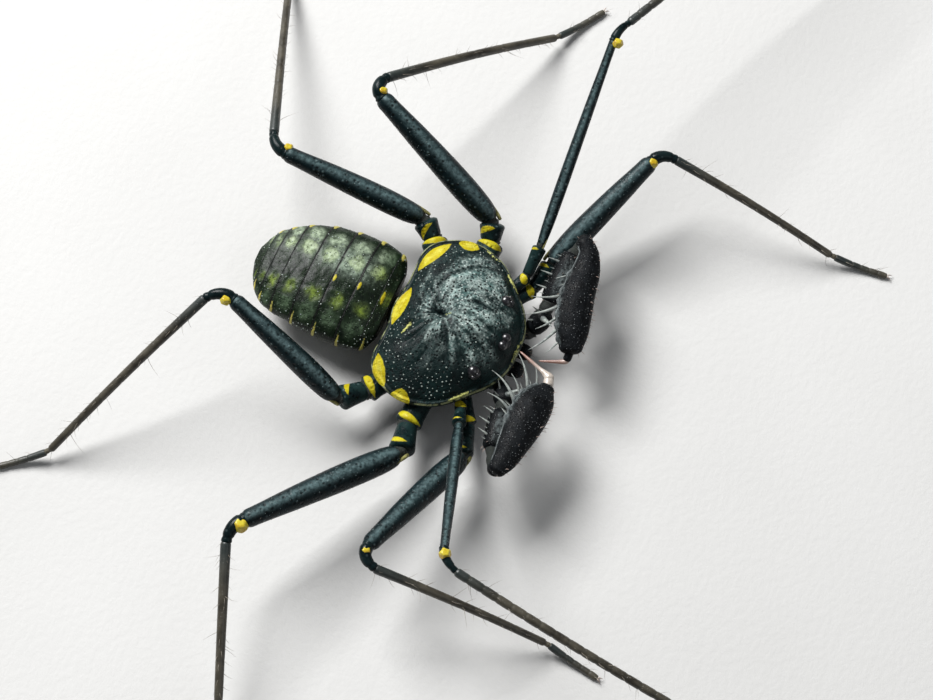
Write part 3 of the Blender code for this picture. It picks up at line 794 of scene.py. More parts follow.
given = growth.nodes.new("NodeGroupInput").outputs
density = step("Math", {0: given["Per Square Millimetre"], 1: 1 / MM**2}, operation="MULTIPLY")
apart = step("Math", {0: given["Apart"], 1: MM}, operation="MULTIPLY")
thick_set = step("GeometryNodeInputNamedAttribute", {"Name": "thick_set"})
lie = step("GeometryNodeInputNamedAttribute", {"Name": "lie"}, data_type="FLOAT_VECTOR")
points = step("GeometryNodeDistributePointsOnFaces", {
    "Mesh": given["Skin"], "Distance Min": apart[0], "Density Max": density[0],
    "Density Factor": thick_set["Attribute"], "Seed": given["Seed"],
}, distribute_method="POISSON")
leaned = step("VectorMath", {0: lie["Attribute"], "Scale": given["Lean"]}, operation="SCALE")
stands = step("VectorMath", {0: leaned[0], 1: points["Normal"]}, operation="ADD")
facing = step("FunctionNodeAlignRotationToVector", {"Vector": stands[0]}, axis="Z")
spin = step("FunctionNodeRandomValue", {2: 0.0, 3: FULL_TURN, "Seed": given["Seed"]})
about = step("FunctionNodeAxisAngleToRotation", {"Axis": (0, 0, 1), "Angle": spin[1]})
turned = step("FunctionNodeRotateRotation", {0: facing[0], 1: about[0]}, rotation_space="LOCAL")
size = step("FunctionNodeRandomValue",
            {2: given["Smallest"], 3: given["Largest"], "Seed": given["Seed"]})
grain_in = step("GeometryNodeObjectInfo", {"Object": given["Grain"]})
grown = step("GeometryNodeInstanceOnPoints", {
    "Points": points["Points"], "Instance": grain_in["Geometry"], "Rotation": turned[0],
    "Scale": size[1],
})
real = step("GeometryNodeRealizeInstances", {"Geometry": grown[0]})
painted = step("GeometryNodeSetMaterial", {"Geometry": real[0], "Material": given["Finish"]})
join(painted[0], growth.nodes.new("NodeGroupOutput").inputs[0])


def grow(name, form, shape, finish_of, slot, **values):
    """Knobs or hairs over a form, as one piece, each mapped to its root's place."""
    bearer = skin("bearer", form)
    grain = grain_object("grain", shape)
    rule = bearer.modifiers.new("growth", "NODES")
    rule.node_group = growth
    values = {key.replace("_", " "): value for key, value in values.items()}
    values.update({"Grain": grain, "Finish": finish_of})
    for item in growth.interface.items_tree:
        if item.name in values:
            rule[item.identifier] = values[item.name]
    graph = bpy.context.evaluated_depsgraph_get()
    mesh = bpy.data.meshes.new_from_object(bearer.evaluated_get(graph))
    bearer.modifiers.remove(rule)
    bpy.data.objects.remove(bearer)
    bpy.data.objects.remove(grain)
    mesh.name = name
    for corner in mesh.vertices:
        corner.co.z = max(corner.co.z, 0.01 * MM)
    mesh.materials.clear()
    mesh.materials.append(finish_of)
    layer = mesh.uv_layers.new(name="OFBake")
    roots = [mesh.attributes[key].data for key in ("u", "v")]
    own = mesh.attributes["own"].data
    for loop in mesh.loops:
        i = loop.vertex_index
        layer.data[loop.index].uv = (
            roots[0][i].value * 0.98 + 0.01 + own[i].vector.x * 0.0015,
            roots[1][i].value * 0.98 + 0.01 + own[i].vector.y * 0.0015,
        )
    wear(placed(name, mesh), slot)


def plain_finish(name, one, other, roughness=0.4, size=0.4, depth=0.006, coat=0.0):
    """A small part's finish: two close colours in clouds, with a fine grain."""
    look = Look(name, roughness, coat)
    cloud = look.mottled(size, 4.0)
    look.colour = blend(cloud, one, other)
    return look.done(look.mottled(size * 0.15), depth, cloud, roughness - 0.06, roughness + 0.08)


KNOB_FINISH = plain_finish("pale knob", (0.13, 0.17, 0.155), (0.38, 0.43, 0.39))
HAIR_FINISH = plain_finish("brown hair", (0.10, 0.065, 0.04), (0.26, 0.19, 0.13))
grow("carapace_knobs", form, dome(), KNOB_FINISH, "carapace",
     Per_Square_Millimetre=8.5, Apart=0.24, Smallest=0.026, Largest=0.078, Lean=0.0, Seed=4)
paint(form, "thick_set", lambda p, **_: (
    (1.0 if -p.y > 2.0 else 0.3) if WALL_LOW < p.z < WALL_HIGH else 0.0))
grow("carapace_rim_hairs", form, bristle(), HAIR_FINISH, "carapace",
     Per_Square_Millimetre=9.0, Apart=0.12, Smallest=0.12, Largest=0.3, Lean=0.4, Seed=9)

# THE EYES
# Two glossy lenses on a dark mound at the front, and a cluster of three on each side.
# Each lens is a clear black dome that stands out of its mound.

look = Look("eye gloss", 0.32, coat=1.0)
cloud = look.mottled(0.3)
look.colour = blend(cloud, (0.002, 0.002, 0.003), (0.008, 0.007, 0.010))
EYE_GLOSS = look.done(cloud, 0.001)
MOUND_SKIN = plain_finish("eye mound", (0.003, 0.004, 0.005), (0.010, 0.011, 0.013), 0.42)


def ball(middle, radii, out, sides=28, rings=18):
    """A smooth egg round a place, its third radius along a direction."""
    out = out.normalized()
    path, halves = [], []
    for i in range(rings + 1):
        swing = math.pi * (0.02 + 0.96 * i / rings)
        path.append(middle - out * math.cos(swing) * radii[2])
        halves.append(math.sin(swing))
    lean = Vector((1, 0, 0)) if abs(out.z) > 0.7 else UP
    return tube(path, [h * radii[0] for h in halves], [h * radii[1] for h in halves], sides, lean)


# Lenses by mound: forward, left, radius and the way that each looks
LENSES = {
    "eye_median": ((5.06, 0.3, 0.38, (35, 40)), (5.06, -0.3, 0.38, (-35, 40))),
    "eye_lateral_left": ((4.3, 3.1, 0.2, (40, 40)), (4.08, 3.42, 0.17, (100, 40)),
                         (3.88, 3.02, 0.46, (120, 70))),
    "eye_lateral_right": ((4.3, -3.1, 0.2, (-40, 40)), (4.08, -3.42, 0.17, (-100, 40)),
                          (3.9, -2.96, 0.46, (-100, 70))),
}
MOUNDS = {"eye_median": (*MEDIAN_EYES, 0.58), "eye_lateral_left": (4.0, 3.05, 0.5),
          "eye_lateral_right": (4.0, -3.05, 0.5)}
for name, lenses in LENSES.items():
    forward, left, radius = MOUNDS[name]
    level = carapace_top(forward, left)
    mound = ball(at(forward, left, level + 0.02), (radius, radius, 0.26), UP)
    dress(f"{name}_mound", mound, MOUND_SKIN, "eye", name)
    for i, (f, l, r, (heading, pitch)) in enumerate(lenses):
        spread_out = math.hypot(f - forward, l - left) / radius
        level_here = level + 0.02 + 0.26 * math.sqrt(max(0.1, 1 - spread_out**2))
        lens = ball(at(f, l, level_here - 0.42 * r), (r, r, r * 1.05), toward(heading, pitch))
        dress(f"{name}_lens_{i + 1}", lens, EYE_GLOSS, "eye", name)

# THE JAWS
# Two short dark chelicerae between the pedipalps, each a fat segment with a curved fang.
# Fine hair grows on the inner side of each.

look = Look("pedipalp skin", 0.5, specular=0.1)
cloud, grit, hollow = look.mottled(0.9), look.dots(0.17, 0.4, (0.4, 0.6)), look.dots(0.12, 0.5)
look.colour = blend(cloud, (0.0015, 0.002, 0.0024), (0.006, 0.0075, 0.009))
look.lay(grit * 0.6, (0.055, 0.063, 0.068))
look.lay(hollow * 0.5, (0.001, 0.001, 0.002))
# The pale ridge: partly painted highlight along the tops of the tibia's crest and the femur
look.lay(between(look.field("ridge"), 0.05, 0.9) * look.mottled(0.3), (0.17, 0.20, 0.20))
PALP_SKIN = look.done(grit - hollow * 0.5, 0.05, cloud, 0.42, 0.6)


def spiny_finish(name, roughness, coat, size, pale, dark, ends):
    """The finish of a spine or claw: pale clouds that meet a plain colour along it."""
    look = Look(name, roughness, coat)
    cloud = look.mottled(size)
    look.colour = blend(cloud, *pale)
    look.lay(between(look.field("v"), *ends), dark)
    return look.done(cloud, 0.008)


SPINE_FINISH = spiny_finish("spine", 0.3, 0.2, 0.25, ((0.20, 0.225, 0.215), (0.44, 0.47, 0.435)),
                            (0.05, 0.06, 0.06), (0.4, 0.0))
CLAW_FINISH = spiny_finish("claw", 0.28, 0.3, 0.3, ((0.42, 0.36, 0.30), (0.62, 0.56, 0.50)),
                           (0.31, 0.165, 0.13), (0.1, 0.9))


# Sides of a spine and its steps
THORN_SIDES, THORN_STEPS = 12, 18


def thorn(root, tip, thick, curl=0.0, base=1.5, sweep=Vector()):
    """A slender spine that curves up and aside, from a flared base to a fine point."""
    upright = abs((tip - root).normalized().z) > 0.9
    path, halves = [], []
    for t in evenly(THORN_STEPS):
        path.append(root.lerp(tip, t) + (UP * curl + sweep) * math.sin(math.pi * t))
        flare = 1 + (base - 1) * math.exp(-t * 9)
        halves.append(thick / 2 * flare * max(0.06, 1 - t**1.6 * 0.94))
    return tube(path, halves, halves, THORN_SIDES, Vector((1, 0, 0)) if upright else UP)


for side, sign in SIDES.items():
    jaw = limb(at(5.25, sign * 0.8, 2.55), at(6.95, sign * 0.76, 2.65), 1.2,
               ((0, 0.95), (0.5, 1.02), (1, 0.85)), deep=1.1, short=(0.1, 0), sides=32)
    paint(jaw, "ridge", 0.0)
    dress(f"jaw_{side}", jaw, PALP_SKIN, "palp", f"chelicera_{side}")
    fang = thorn(at(6.5, sign * 0.76, 2.4), at(6.9, sign * 0.6, 1.2), 0.42, 0.12)
    dress(f"fang_{side}", fang, CLAW_FINISH, "palp", f"chelicera_{side}")
    paint(jaw, "thick_set", lambda p, v, top, **_: 1.0 if v > 0.6 else 0.1)
    grow(f"jaw_{side}_hairs", jaw, bristle(), HAIR_FINISH, "palp", Per_Square_Millimetre=12.0,
         Apart=0.12, Smallest=0.2, Largest=0.5, Lean=1.2, Seed=3)

# THE ABDOMEN
# A soft flattened bag held by overlapping plates on top, each a thin hard shell with a
# raised rear edge. It is olive with pale blotches, and yellow where the plates meet. Its
# left half carries a painted sheen and painted lighter blotches; its right half's spots are
# painted darker as shade.

# The height of the side margin, then by how far forward: half width, rise of the top,
# depth of the belly and the middle line
MARGIN_UP = 3.0
WIDTH = (
    (-14.85, 0.75), (-14.55, 1.6), (-14.0, 2.55), (-13.3, 3.2), (-12.3, 3.72), (-10.5, 4.2),
    (-8.6, 4.45), (-6.6, 4.5), (-4.8, 4.15), (-4.4, 3.7), (-4.08, 2.9),
)
TOP = ((-14.85, 0.42), (-14.0, 0.9), (-12.0, 1.48), (-9.0, 1.9), (-6.5, 1.75), (-4.08, 0.75))
BELLY = ((-14.85, 0.38), (-14.0, 0.68), (-12.0, 1.1), (-9.0, 1.45), (-6.5, 1.35), (-4.08, 0.7))
MIDLINE = ((-14.85, -0.35), (-13.3, -0.42), (-12.3, -0.32), (-10.5, -0.12), (-4.08, -0.05))
# Where the plates meet, from the front
PLATE_EDGES = (-4.08, -4.8, -6.65, -8.55, -10.45, -12.2, -13.35, -14.1, -14.5, -14.85)
REAR_END = PLATE_EDGES[-1]
# How far the line of the markings lies from the middle
MARK_LINE = ((-14.85, -0.5), (-12.3, -0.4), (-8.6, -0.35), (-6.7, -0.15), (-4.08, -0.02))


def abdomen_skin(forward, turn, lift=1.0):
    """A place on the abdomen at this turn round it, from the left edge over the top."""
    c, s = math.cos(turn), math.sin(turn)
    rise = TOP if s > 0 else BELLY
    wide = through(WIDTH, forward) * (0.5 + 0.5 * lift)
    up = math.copysign(abs(s) ** 0.95, s) * through(rise, forward) * (lift if s > 0 else 1)
    left = through(MIDLINE, forward) + math.copysign(abs(c) ** 0.85, c) * wide
    return at(forward, left, MARGIN_UP + up)


def shell_between(outer, inner):
    """A closed thin shell from two grids of places, as a form."""
    long, wide = len(outer), len(outer[0])
    shape = {"points": [p for grid in (outer, inner) for row in grid for p in row], "faces": []}
    under = long * wide
    for i in range(long - 1):
        for j in range(wide - 1):
            a, b = i * wide + j, (i + 1) * wide + j
            shape["faces"].append((a, a + 1, b + 1, b))
            shape["faces"].append((under + a, under + b, under + b + 1, under + a + 1))
    edge = list(range(wide))
    edge += [i * wide + wide - 1 for i in range(1, long)]
    edge += [(long - 1) * wide + j for j in range(wide - 2, -1, -1)]
    edge += [i * wide for i in range(long - 2, 0, -1)]
    for a, b in zip(edge, edge[1:] + edge[:1]):
        shape["faces"].append((a, under + a, under + b, b))
    return shape


look = Look("abdomen plate", 0.4, coat=0.08, specular=0.14)
fleck = look.mottled(0.32, 5.0)
fleckled = fleck * 0.9 + 0.2
haze, blotch, grey = look.field("haze"), look.field("blotch"), look.field("grey")
look.colour = blend(look.mottled(0.8, 5.0), (0.0015, 0.005, 0.002), (0.007, 0.016, 0.006))
# Painted sheen: a pale flecked band just left of the middle, where the light falls
look.lay(grey * fleckled, (0.30, 0.38, 0.30))
look.lay(haze * fleckled, (0.09, 0.14, 0.08))
look.lay(blotch * fleckled, (0.20, 0.28, 0.035))
# Painted light: the blotches and haze of the left half are laid whiter where the light falls
lit_side_whitening = (haze * 0.75).sum(blotch, "MAXIMUM") * look.field("lit")
look.lay(lit_side_whitening * fleckled, (0.42, 0.50, 0.36))
bead, dark = look.dots(0.16, 0.45, (0.4, 0.7)), look.dots(0.2, 0.42, (0.3, 0.45))
look.lay(bead * 0.3, (0.17, 0.25, 0.15))
# Painted glints: the beads within the painted sheen are laid whiter
look.lay(bead * between(grey, 0.1, 0.7) * 0.9, (0.52, 0.57, 0.50))
look.lay(dark * 0.88, (0.002, 0.005, 0.003))
look.lay(between(look.field("suture"), 0.0, 0.6), (0.001, 0.002, 0.001))
marking = look.use(yellow_skin, Ragged_mm=0.06)
look.lay(Value(marking["Mask"]),
         blend(look.field("pale") * 0.6, marking["Colour"], (0.40, 0.37, 0.13)))
PLATE_SKIN = look.done(bead * 0.7 - dark * 0.4 + fleck * 0.3, 0.05, fleck, 0.34, 0.5)

# Half widths of the yellow marks in the middle of the first plates, and how many plates
# have a yellow tuft at each side
MIDDLE_MARKS, TUFTED = (0.6, 0.46, 0.36), 7
# How bright the spots of the animal's right half are beside those of its left: painted
# shade on that side
RIGHT_SHADED = 0.72
# Where the painted light on the patches begins, the middle of the painted sheen (forward,
# left) and the line of pearls across the front
LIT_FROM, SHEEN_AT, PEARLS_AT = -6.6, (-7.9, 1.0), -4.85


def plate_spot(number, t, forward, turn, lift):
    """A place on top of a plate, with its painted fields there."""
    front, rear = PLATE_EDGES[number:number + 2]
    spot = abdomen_skin(forward, turn, lift)
    left = spot.x
    sideways = abs(left - through(MARK_LINE, forward))
    share = (forward - (front + rear) / 2) / (front - rear)
    stray = Vector((rough(spot, 0.7, 5.0), rough(spot, 0.7, 9.0), rough(spot, 0.3, 7.0)))

    def blot(centre, wide, tall):
        """A soft uneven spot at this distance from the middle of the plate."""
        off = (sideways - centre + 0.35 * stray.x + 0.15 * stray.z) / wide
        along = (share + 0.16 * stray.y) / tall
        return math.exp(-((off * off + along * along) ** 1.7)) * (1 + 0.5 * stray.z)

    full = (1.0 if 0 < number < 6 else 0.5 * (number > 0)) * (1 if left > 0 else RIGHT_SHADED)
    collar = 0.55 * bell(sideways, 0.45) if number == 0 else 0.0
    # How far the painted light and the painted sheen reach over the left half
    lit = 1.0 if forward < LIT_FROM else bell(forward - LIT_FROM, 0.9)
    sheen = 0.85 * lit * bell(left - SHEEN_AT[1], 0.75 if left < SHEEN_AT[1] else 1.4)
    mark = -1.0
    from_rear = abs(forward - rear - 0.1 + 0.05 * stray.x)
    if number < len(MIDDLE_MARKS) and sideways < MIDDLE_MARKS[number]:
        mark = 0.17 * math.sqrt(1 - (sideways / MIDDLE_MARKS[number]) ** 2) - from_rear
    if number < TUFTED:
        inwards = through(WIDTH, forward) - abs(left - through(MIDLINE, forward))
        half, deep = (0.17, 1.0 - 0.06 * number) if left < 0 else (0.3, 0.8 - 0.06 * number)
        tuft = half * (1 - max(0.0, inwards) / deep) ** 0.6 if inwards < deep else -1.0
        mark = max(mark, tuft - from_rear)
    pearls = 1.0 if number < 2 and abs(forward - PEARLS_AT) < 0.16 else 0.25
    fields = {
        "blotch": max(collar, full * blot(1.65, 0.5, 0.27)),
        "haze": full * max(blot(3.0, 0.62, 0.34), 0.4 * blot(1.65, 0.8, 0.42)),
        "grey": sheen * (0.15 + 0.85 * bell(forward - SHEEN_AT[0], 2.0)),
        "lit": lit * unit(left / 0.8),
        "suture": max(0.0, 1 - abs(t - 0.985) / 0.08, 1 - t / 0.12),
        "yellow": mark,
        "pale": 1.0 if sideways > 2.0 or number > 3 else 0.0,
        "thick_set": 1.0 if spot.z < MARGIN_UP + 0.6 else pearls,
        "v": (number + t) / (len(PLATE_EDGES) - 1),
    }
    dents = bell(share, 0.25) * sum(bell(sideways - dent, 0.3) for dent in (1.67, 3.1))
    spot.z += 0.06 * stray.x + 0.03 * stray.z - 0.06 * dents + 0.3 * max(0.0, mark)
    return spot, fields


ACROSS, ALONG = 112, 22
plates = []
for number, (front, rear) in enumerate(zip(PLATE_EDGES, PLATE_EDGES[1:])):
    lap = min(0.14, 0.2 * (front - rear))
    outer, inner, painted = [], [], []
    for t in evenly(ALONG):
        forward = max(REAR_END, front + (rear - front - lap) * t)
        lift = 0.952 + 0.05 * min(1, t * 1.25) ** 0.8 - 0.012 * max(0, (t - 0.93) / 0.07) ** 2
        turns = [math.pi * (-0.05 + 1.1 * j / ACROSS) for j in range(ACROSS + 1)]
        row = [plate_spot(number, t, forward, turn, lift) for turn in turns]
        outer.append([spot for spot, _ in row])
        inner.append([abdomen_skin(forward, turn, lift - 0.09) for turn in turns])
        painted += [{**fields, "u": j / ACROSS} for j, (_, fields) in enumerate(row)]
    shape = shell_between(outer, inner)
    for key in painted[0]:
        below = -1.0 if key == "yellow" else 0.0
        shape[key] = [fields[key] for fields in painted] + [below] * len(painted)
    shape["lie"] = [at(-1, 0, 0.2)] * len(shape["points"])
    plates.append(shape)
    dress(f"abdomen_plate_{number + 1}", shape, PLATE_SKIN, "abdomen", "abdomen")

look = Look("soft skin of the abdomen", 0.5)
cloud, bead = look.mottled(0.7, 4.0), look.dots(0.13, 0.5)
look.colour = blend(cloud, (0.026, 0.032, 0.020), (0.075, 0.080, 0.048))
look.lay(bead * 0.35, (0.16, 0.17, 0.11))
SOFT_SKIN = look.done(bead + cloud, 0.03)


def bag_relief(forward, turn):
    """Plates below with a groove between each, and long soft pleats along the sides."""
    down = max(0.0, -math.sin(turn))
    grooves = sum(bell(forward - edge, 0.12) for edge in PLATE_EDGES[1:])
    pleats = math.sin(turn * 44) * bell(math.sin(turn) + 0.35, 0.25)
    return 1 - 0.035 * grooves * down + 0.008 * pleats


rows = []
BAG_SIDES, BAG_RINGS = 96, 110
for i in range(BAG_RINGS + 1):
    forward = PLATE_EDGES[0] + (REAR_END - PLATE_EDGES[0]) * i / BAG_RINGS
    row = []
    for j in range(BAG_SIDES):
        turn = math.tau * (j + 0.5) / BAG_SIDES
        spot = abdomen_skin(forward, turn, 0.9)
        middle = at(forward, through(MIDLINE, forward), MARGIN_UP)
        row.append(middle + (spot - middle) * bag_relief(forward, turn))
    rows.append(row)
bag = {"points": [p for row in rows for p in row], "faces": hoops(len(rows), BAG_SIDES)}
for first in (0, BAG_RINGS * BAG_SIDES):
    ring = bag["points"][first:first + BAG_SIDES]
    bag["faces"] += fan(first, BAG_SIDES, len(bag["points"]))
    bag["points"].append(sum(ring, Vector()) / BAG_SIDES)
dress("abdomen_bag", bag, SOFT_SKIN, "abdomen", "abdomen")
grow("abdomen_beads", joined(plates), dome(), KNOB_FINISH, "abdomen",
     Per_Square_Millimetre=8.0, Apart=0.24, Smallest=0.025, Largest=0.07, Lean=0.0, Seed=21)

waist = limb(at(-2.4, 0, 2.5), at(-4.2, 0, 2.75), 2.6, ((0, 0.9), (0.5, 1.0), (1, 0.9)),
             sides=40, deep=0.32, relief=lambda run, length, turn: 1 + 0.03 * math.sin(run * 14))
dress("waist", waist, SOFT_SKIN, "underside", "pedicel")

# THE PEDIPALPS
# Folded arms with rows of long pale spines that close on prey. Each is a trochanter, a
# femur, a broad flat tibia with a scalloped inner ridge, and a short tarsus with a claw.

# The ends of the trochanter, where the femur starts, and the knee
PALP_TROCHANTER = ((6.1, 2.55, 2.5), (6.9, 3.95, 3.8))
PALP_FEMUR_START = {"left": (6.65, 4.35, 3.95), "right": (6.85, -4.35, 3.95)}
PALP_KNEE = {"left": (6.8, 8.7, 4.85), "right": (7.5, -7.9, 4.35)}
# Rows of the tibia: forward, left, up and width
PALP_TIBIA = {
    "left": (
        (7.4, 9.4, 5.9, 1.25), (8.08, 8.65, 5.8, 1.55), (8.42, 7.3, 5.65, 2.15),
        (8.55, 5.75, 5.45, 2.5), (8.9, 4.1, 5.3, 2.6), (9.33, 2.7, 5.15, 2.4),
        (9.66, 1.7, 5.0, 1.8),
    ),
    "right": (
        (8.64, -9.44, 5.9, 1.4), (8.86, -8.43, 5.8, 1.9), (8.92, -6.97, 5.65, 2.4),
        (8.98, -5.5, 5.45, 2.8), (9.06, -4.1, 5.3, 2.85), (9.22, -3.0, 5.15, 2.35),
        (9.36, -2.1, 5.0, 1.25),
    ),
}
# Where the knee's lobe ends
KNEE_LOBE = {"left": (7.4, 9.85, 5.0), "right": (8.25, -9.2, 4.9)}
# Spines of the tibia: where each leaves it and where its tip lies
TIBIA_SPINES = {
    "left": (
        ((7.3, 6.6, 5.6), (6.55, 5.85, 5.9)), ((7.46, 5.15, 5.3), (5.5, 3.88, 5.8)),
        ((7.64, 4.36, 5.3), (5.47, 2.31, 5.8)), ((7.81, 3.4, 5.25), (6.81, 1.61, 5.8)),
        ((8.19, 2.7, 5.2), (7.0, -0.1, 5.8)), ((8.66, 1.75, 5.1), (8.23, 0.25, 5.6)),
    ),
    "right": (
        ((7.75, -5.6, 5.5), (7.0, -5.0, 5.85)), ((7.54, -4.94, 5.3), (5.59, -4.31, 5.8)),
        ((7.43, -3.97, 5.3), (5.23, -2.6, 5.8)), ((7.58, -3.22, 5.25), (6.59, -2.25, 5.8)),
        ((7.96, -2.55, 5.2), (6.5, -0.65, 5.8)), ((8.56, -2.2, 5.1), (8.0, -1.0, 5.7)),
    ),
}
# How deep they are rooted in it
SUNK = 0.6
# Spines below the tibia and on the femur: how far along each is, and its length
UNDER_SPINES = ((0.45, 0.9), (0.62, 1.2), (0.78, 1.0))
FEMUR_SPINES = ((0.25, 0.6), (0.5, 0.75), (0.75, 0.6))
# Rows of the claw: forward, left, up and width
PALP_CLAW = {
    "left": ((9.86, 0.9, 4.62, 0.22), (9.75, 0.66, 4.56, 0.34), (9.4, 0.5, 4.48, 0.3),
             (8.9, 0.33, 4.4, 0.21), (8.35, 0.15, 4.3, 0.16), (7.85, 0.0, 4.2, 0.08)),
    "right": ((9.3, -1.38, 4.95, 0.28), (9.15, -1.18, 4.95, 0.38), (8.75, -0.98, 4.95, 0.25),
              (8.2, -0.78, 4.95, 0.15), (7.3, -0.45, 4.92, 0.12), (6.4, -0.1, 4.85, 0.06)),
}


def course(rows, steps):
    """A smooth path through rows of forward, left, up and width, with its widths."""
    last = len(rows) - 1
    places = [(*at(*row[:3]), row[3]) for row in rows]
    curves = [[(i / last, place[axis]) for i, place in enumerate(places)] for axis in range(4)]
    shares = evenly(steps)
    path = [Vector([through(curve, t) for curve in curves[:3]]) for t in shares]
    return path, [through(curves[3], t) for t in shares]


def eased(halves, shares):
    """Half widths drawn in at both ends by these shares."""
    for i, share in enumerate(shares):
        halves[i] *= share
        halves[-1 - i] *= share


# The tibia's rings, those of each rounded end, its sides, and how far up its inner edge
# the keel stands
BLADE_RINGS, CAP_RINGS, BLADE_SIDES, KEEL_LEAN = 84, 6, 44, 0.42


def palp_blade(side):
    """The broad tibia, with a raised scalloped ridge along its inner upper edge."""
    path, widths = course(PALP_TIBIA[side], BLADE_RINGS)
    halves = [wide / 2 for wide in widths]
    first, final = halves[0], halves[-1]
    back = (path[0] - path[2]).normalized()
    ahead = (path[-1] - path[-3]).normalized()
    start, end = path[0].copy(), path[-1].copy()
    for k in range(1, CAP_RINGS + 1):
        swing = math.pi / 2 * k / CAP_RINGS
        share = max(0.05, math.cos(swing) ** 0.7)
        path.insert(0, start + back * first * 0.62 * math.sin(swing))
        halves.insert(0, first * share)
        path.append(end + ahead * final * 0.62 * math.sin(swing))
        halves.append(final * share)
    inward = 0.0 if side == "left" else math.pi
    run_of = [0.0]
    for here, there in zip(path, path[1:]):
        run_of.append(run_of[-1] + (there - here).length)
    bases = [
        run_of[min(range(len(path)), key=lambda i: (path[i] - at(*place)).length)]
        for place, _ in TIBIA_SPINES[side]
    ]

    def from_inside(turn):
        """How far round from the inner edge this is, over the top."""
        return math.remainder(turn - inward, math.tau) * SIDES[side]

    def near_spine(run, half):
        """How close this is to the root of a spine, as 1 at the root."""
        return max(bell(run - base, half) for base in bases)

    def relief(run, length, turn):
        """The ridge with a groove behind it, and the flat of the top."""
        off = from_inside(turn)
        crest = bell(off - 0.5, 0.2)
        fade = math.sin(math.pi * unit(run / length)) ** 0.5
        valley = bell(off - 1.0, 0.3)
        flat = bell(off - 1.65, 0.5)
        groove = bell(off - 2.45, 0.14)
        return 1 + fade * (
            crest * (0.035 + 0.07 * near_spine(run, 0.3))
            - 0.06 * valley - 0.07 * flat - 0.05 * groove)

    blade = tube(path, halves, [half * 0.8 for half in halves], BLADE_SIDES, relief=relief)
    for point in blade["points"]:
        point.z += 0.05 * rough(point, 0.9, 3.0) + 0.02 * rough(point, 0.35, 8.0)

    def ridge(point, u, from_start, **_):
        """How pale the ridge is here: partly a painted highlight on its top and partly its paler
        skin by the spines.
        """
        lit_top = bell(from_inside(u * math.tau) - 0.45, 0.2)
        return lit_top * (0.25 + 0.75 * near_spine(from_start, 0.35))

    paint(blade, "ridge", ridge)
    paint(blade, "thick_set", lambda p, u, **_: max(
        0.0, -math.cos(u * math.tau - inward)) ** 5 + 0.02)
    # The pale keel stands on the inner upper edge and runs out into each spine's foot
    keel, thick = [], []
    lean = KEEL_LEAN if side == "left" else math.pi - KEEL_LEAN
    for i in range(CAP_RINGS + 2, len(path) - CAP_RINGS):
        along = (path[i + 1] - path[i - 1]).normalized()
        across = along.cross(UP).normalized()
        out = across * math.cos(lean) * halves[i]
        up = across.cross(along) * math.sin(lean) * halves[i] * 0.8
        keel.append(path[i] + (out + up) * (1.0 + 0.1 * near_spine(run_of[i], 0.3)))
        thick.append(0.075 + 0.08 * near_spine(run_of[i], 0.3))
    eased(thick, (0.2, 0.5, 0.75, 0.9))
    return blade, path, tube(keel, thick, thick, 10)


# Pleats of a soft sleeve
PLEATS = 2


def fold(here, there, thick, name, material, slot):
    """A pleated soft sleeve that closes the gap between two segments."""
    shares = evenly(16)
    path = [here.lerp(there, t) for t in shares]
    halves = [thick / 2 * (0.93 + 0.06 * math.sin(t * math.tau * PLEATS)) for t in shares]
    dress(name, tube(path, halves, halves, 20), material, slot)


def shelves(forms):
    """The forms side by side in u, so that the roots of each have a place of their own."""
    for i, form in enumerate(forms):
        form["u"] = [(i + 0.05 + 0.9 * u) / len(forms) for u in form["u"]]
    return joined(forms)


DARK_FOLD = plain_finish("dark fold", (0.006, 0.010, 0.009), (0.022, 0.028, 0.022), 0.5,
                         size=0.3, depth=0.03)
PALP_HAIR = plain_finish("pedipalp hair", (0.34, 0.24, 0.20), (0.62, 0.50, 0.44))
PALP_GRANULE = plain_finish("pedipalp granule", (0.04, 0.045, 0.048), (0.25, 0.27, 0.27), 0.35)
KEEL_FINISH = plain_finish("keel", (0.03, 0.038, 0.04), (0.16, 0.185, 0.185), 0.34,
                           size=0.3, depth=0.02, coat=0.1)
# The foot is dark on the left and cream on the right, where its claw is the stouter
FOOT_FINISH = {"left": PALP_SKIN, "right": CLAW_FINISH}
FOOT_THICK = {"left": 0.62, "right": 0.78}
CLAW_SHARE, CLAW_TINT = {"left": 0.58, "right": 1.0}, {"left": 0.4, "right": 0.0}

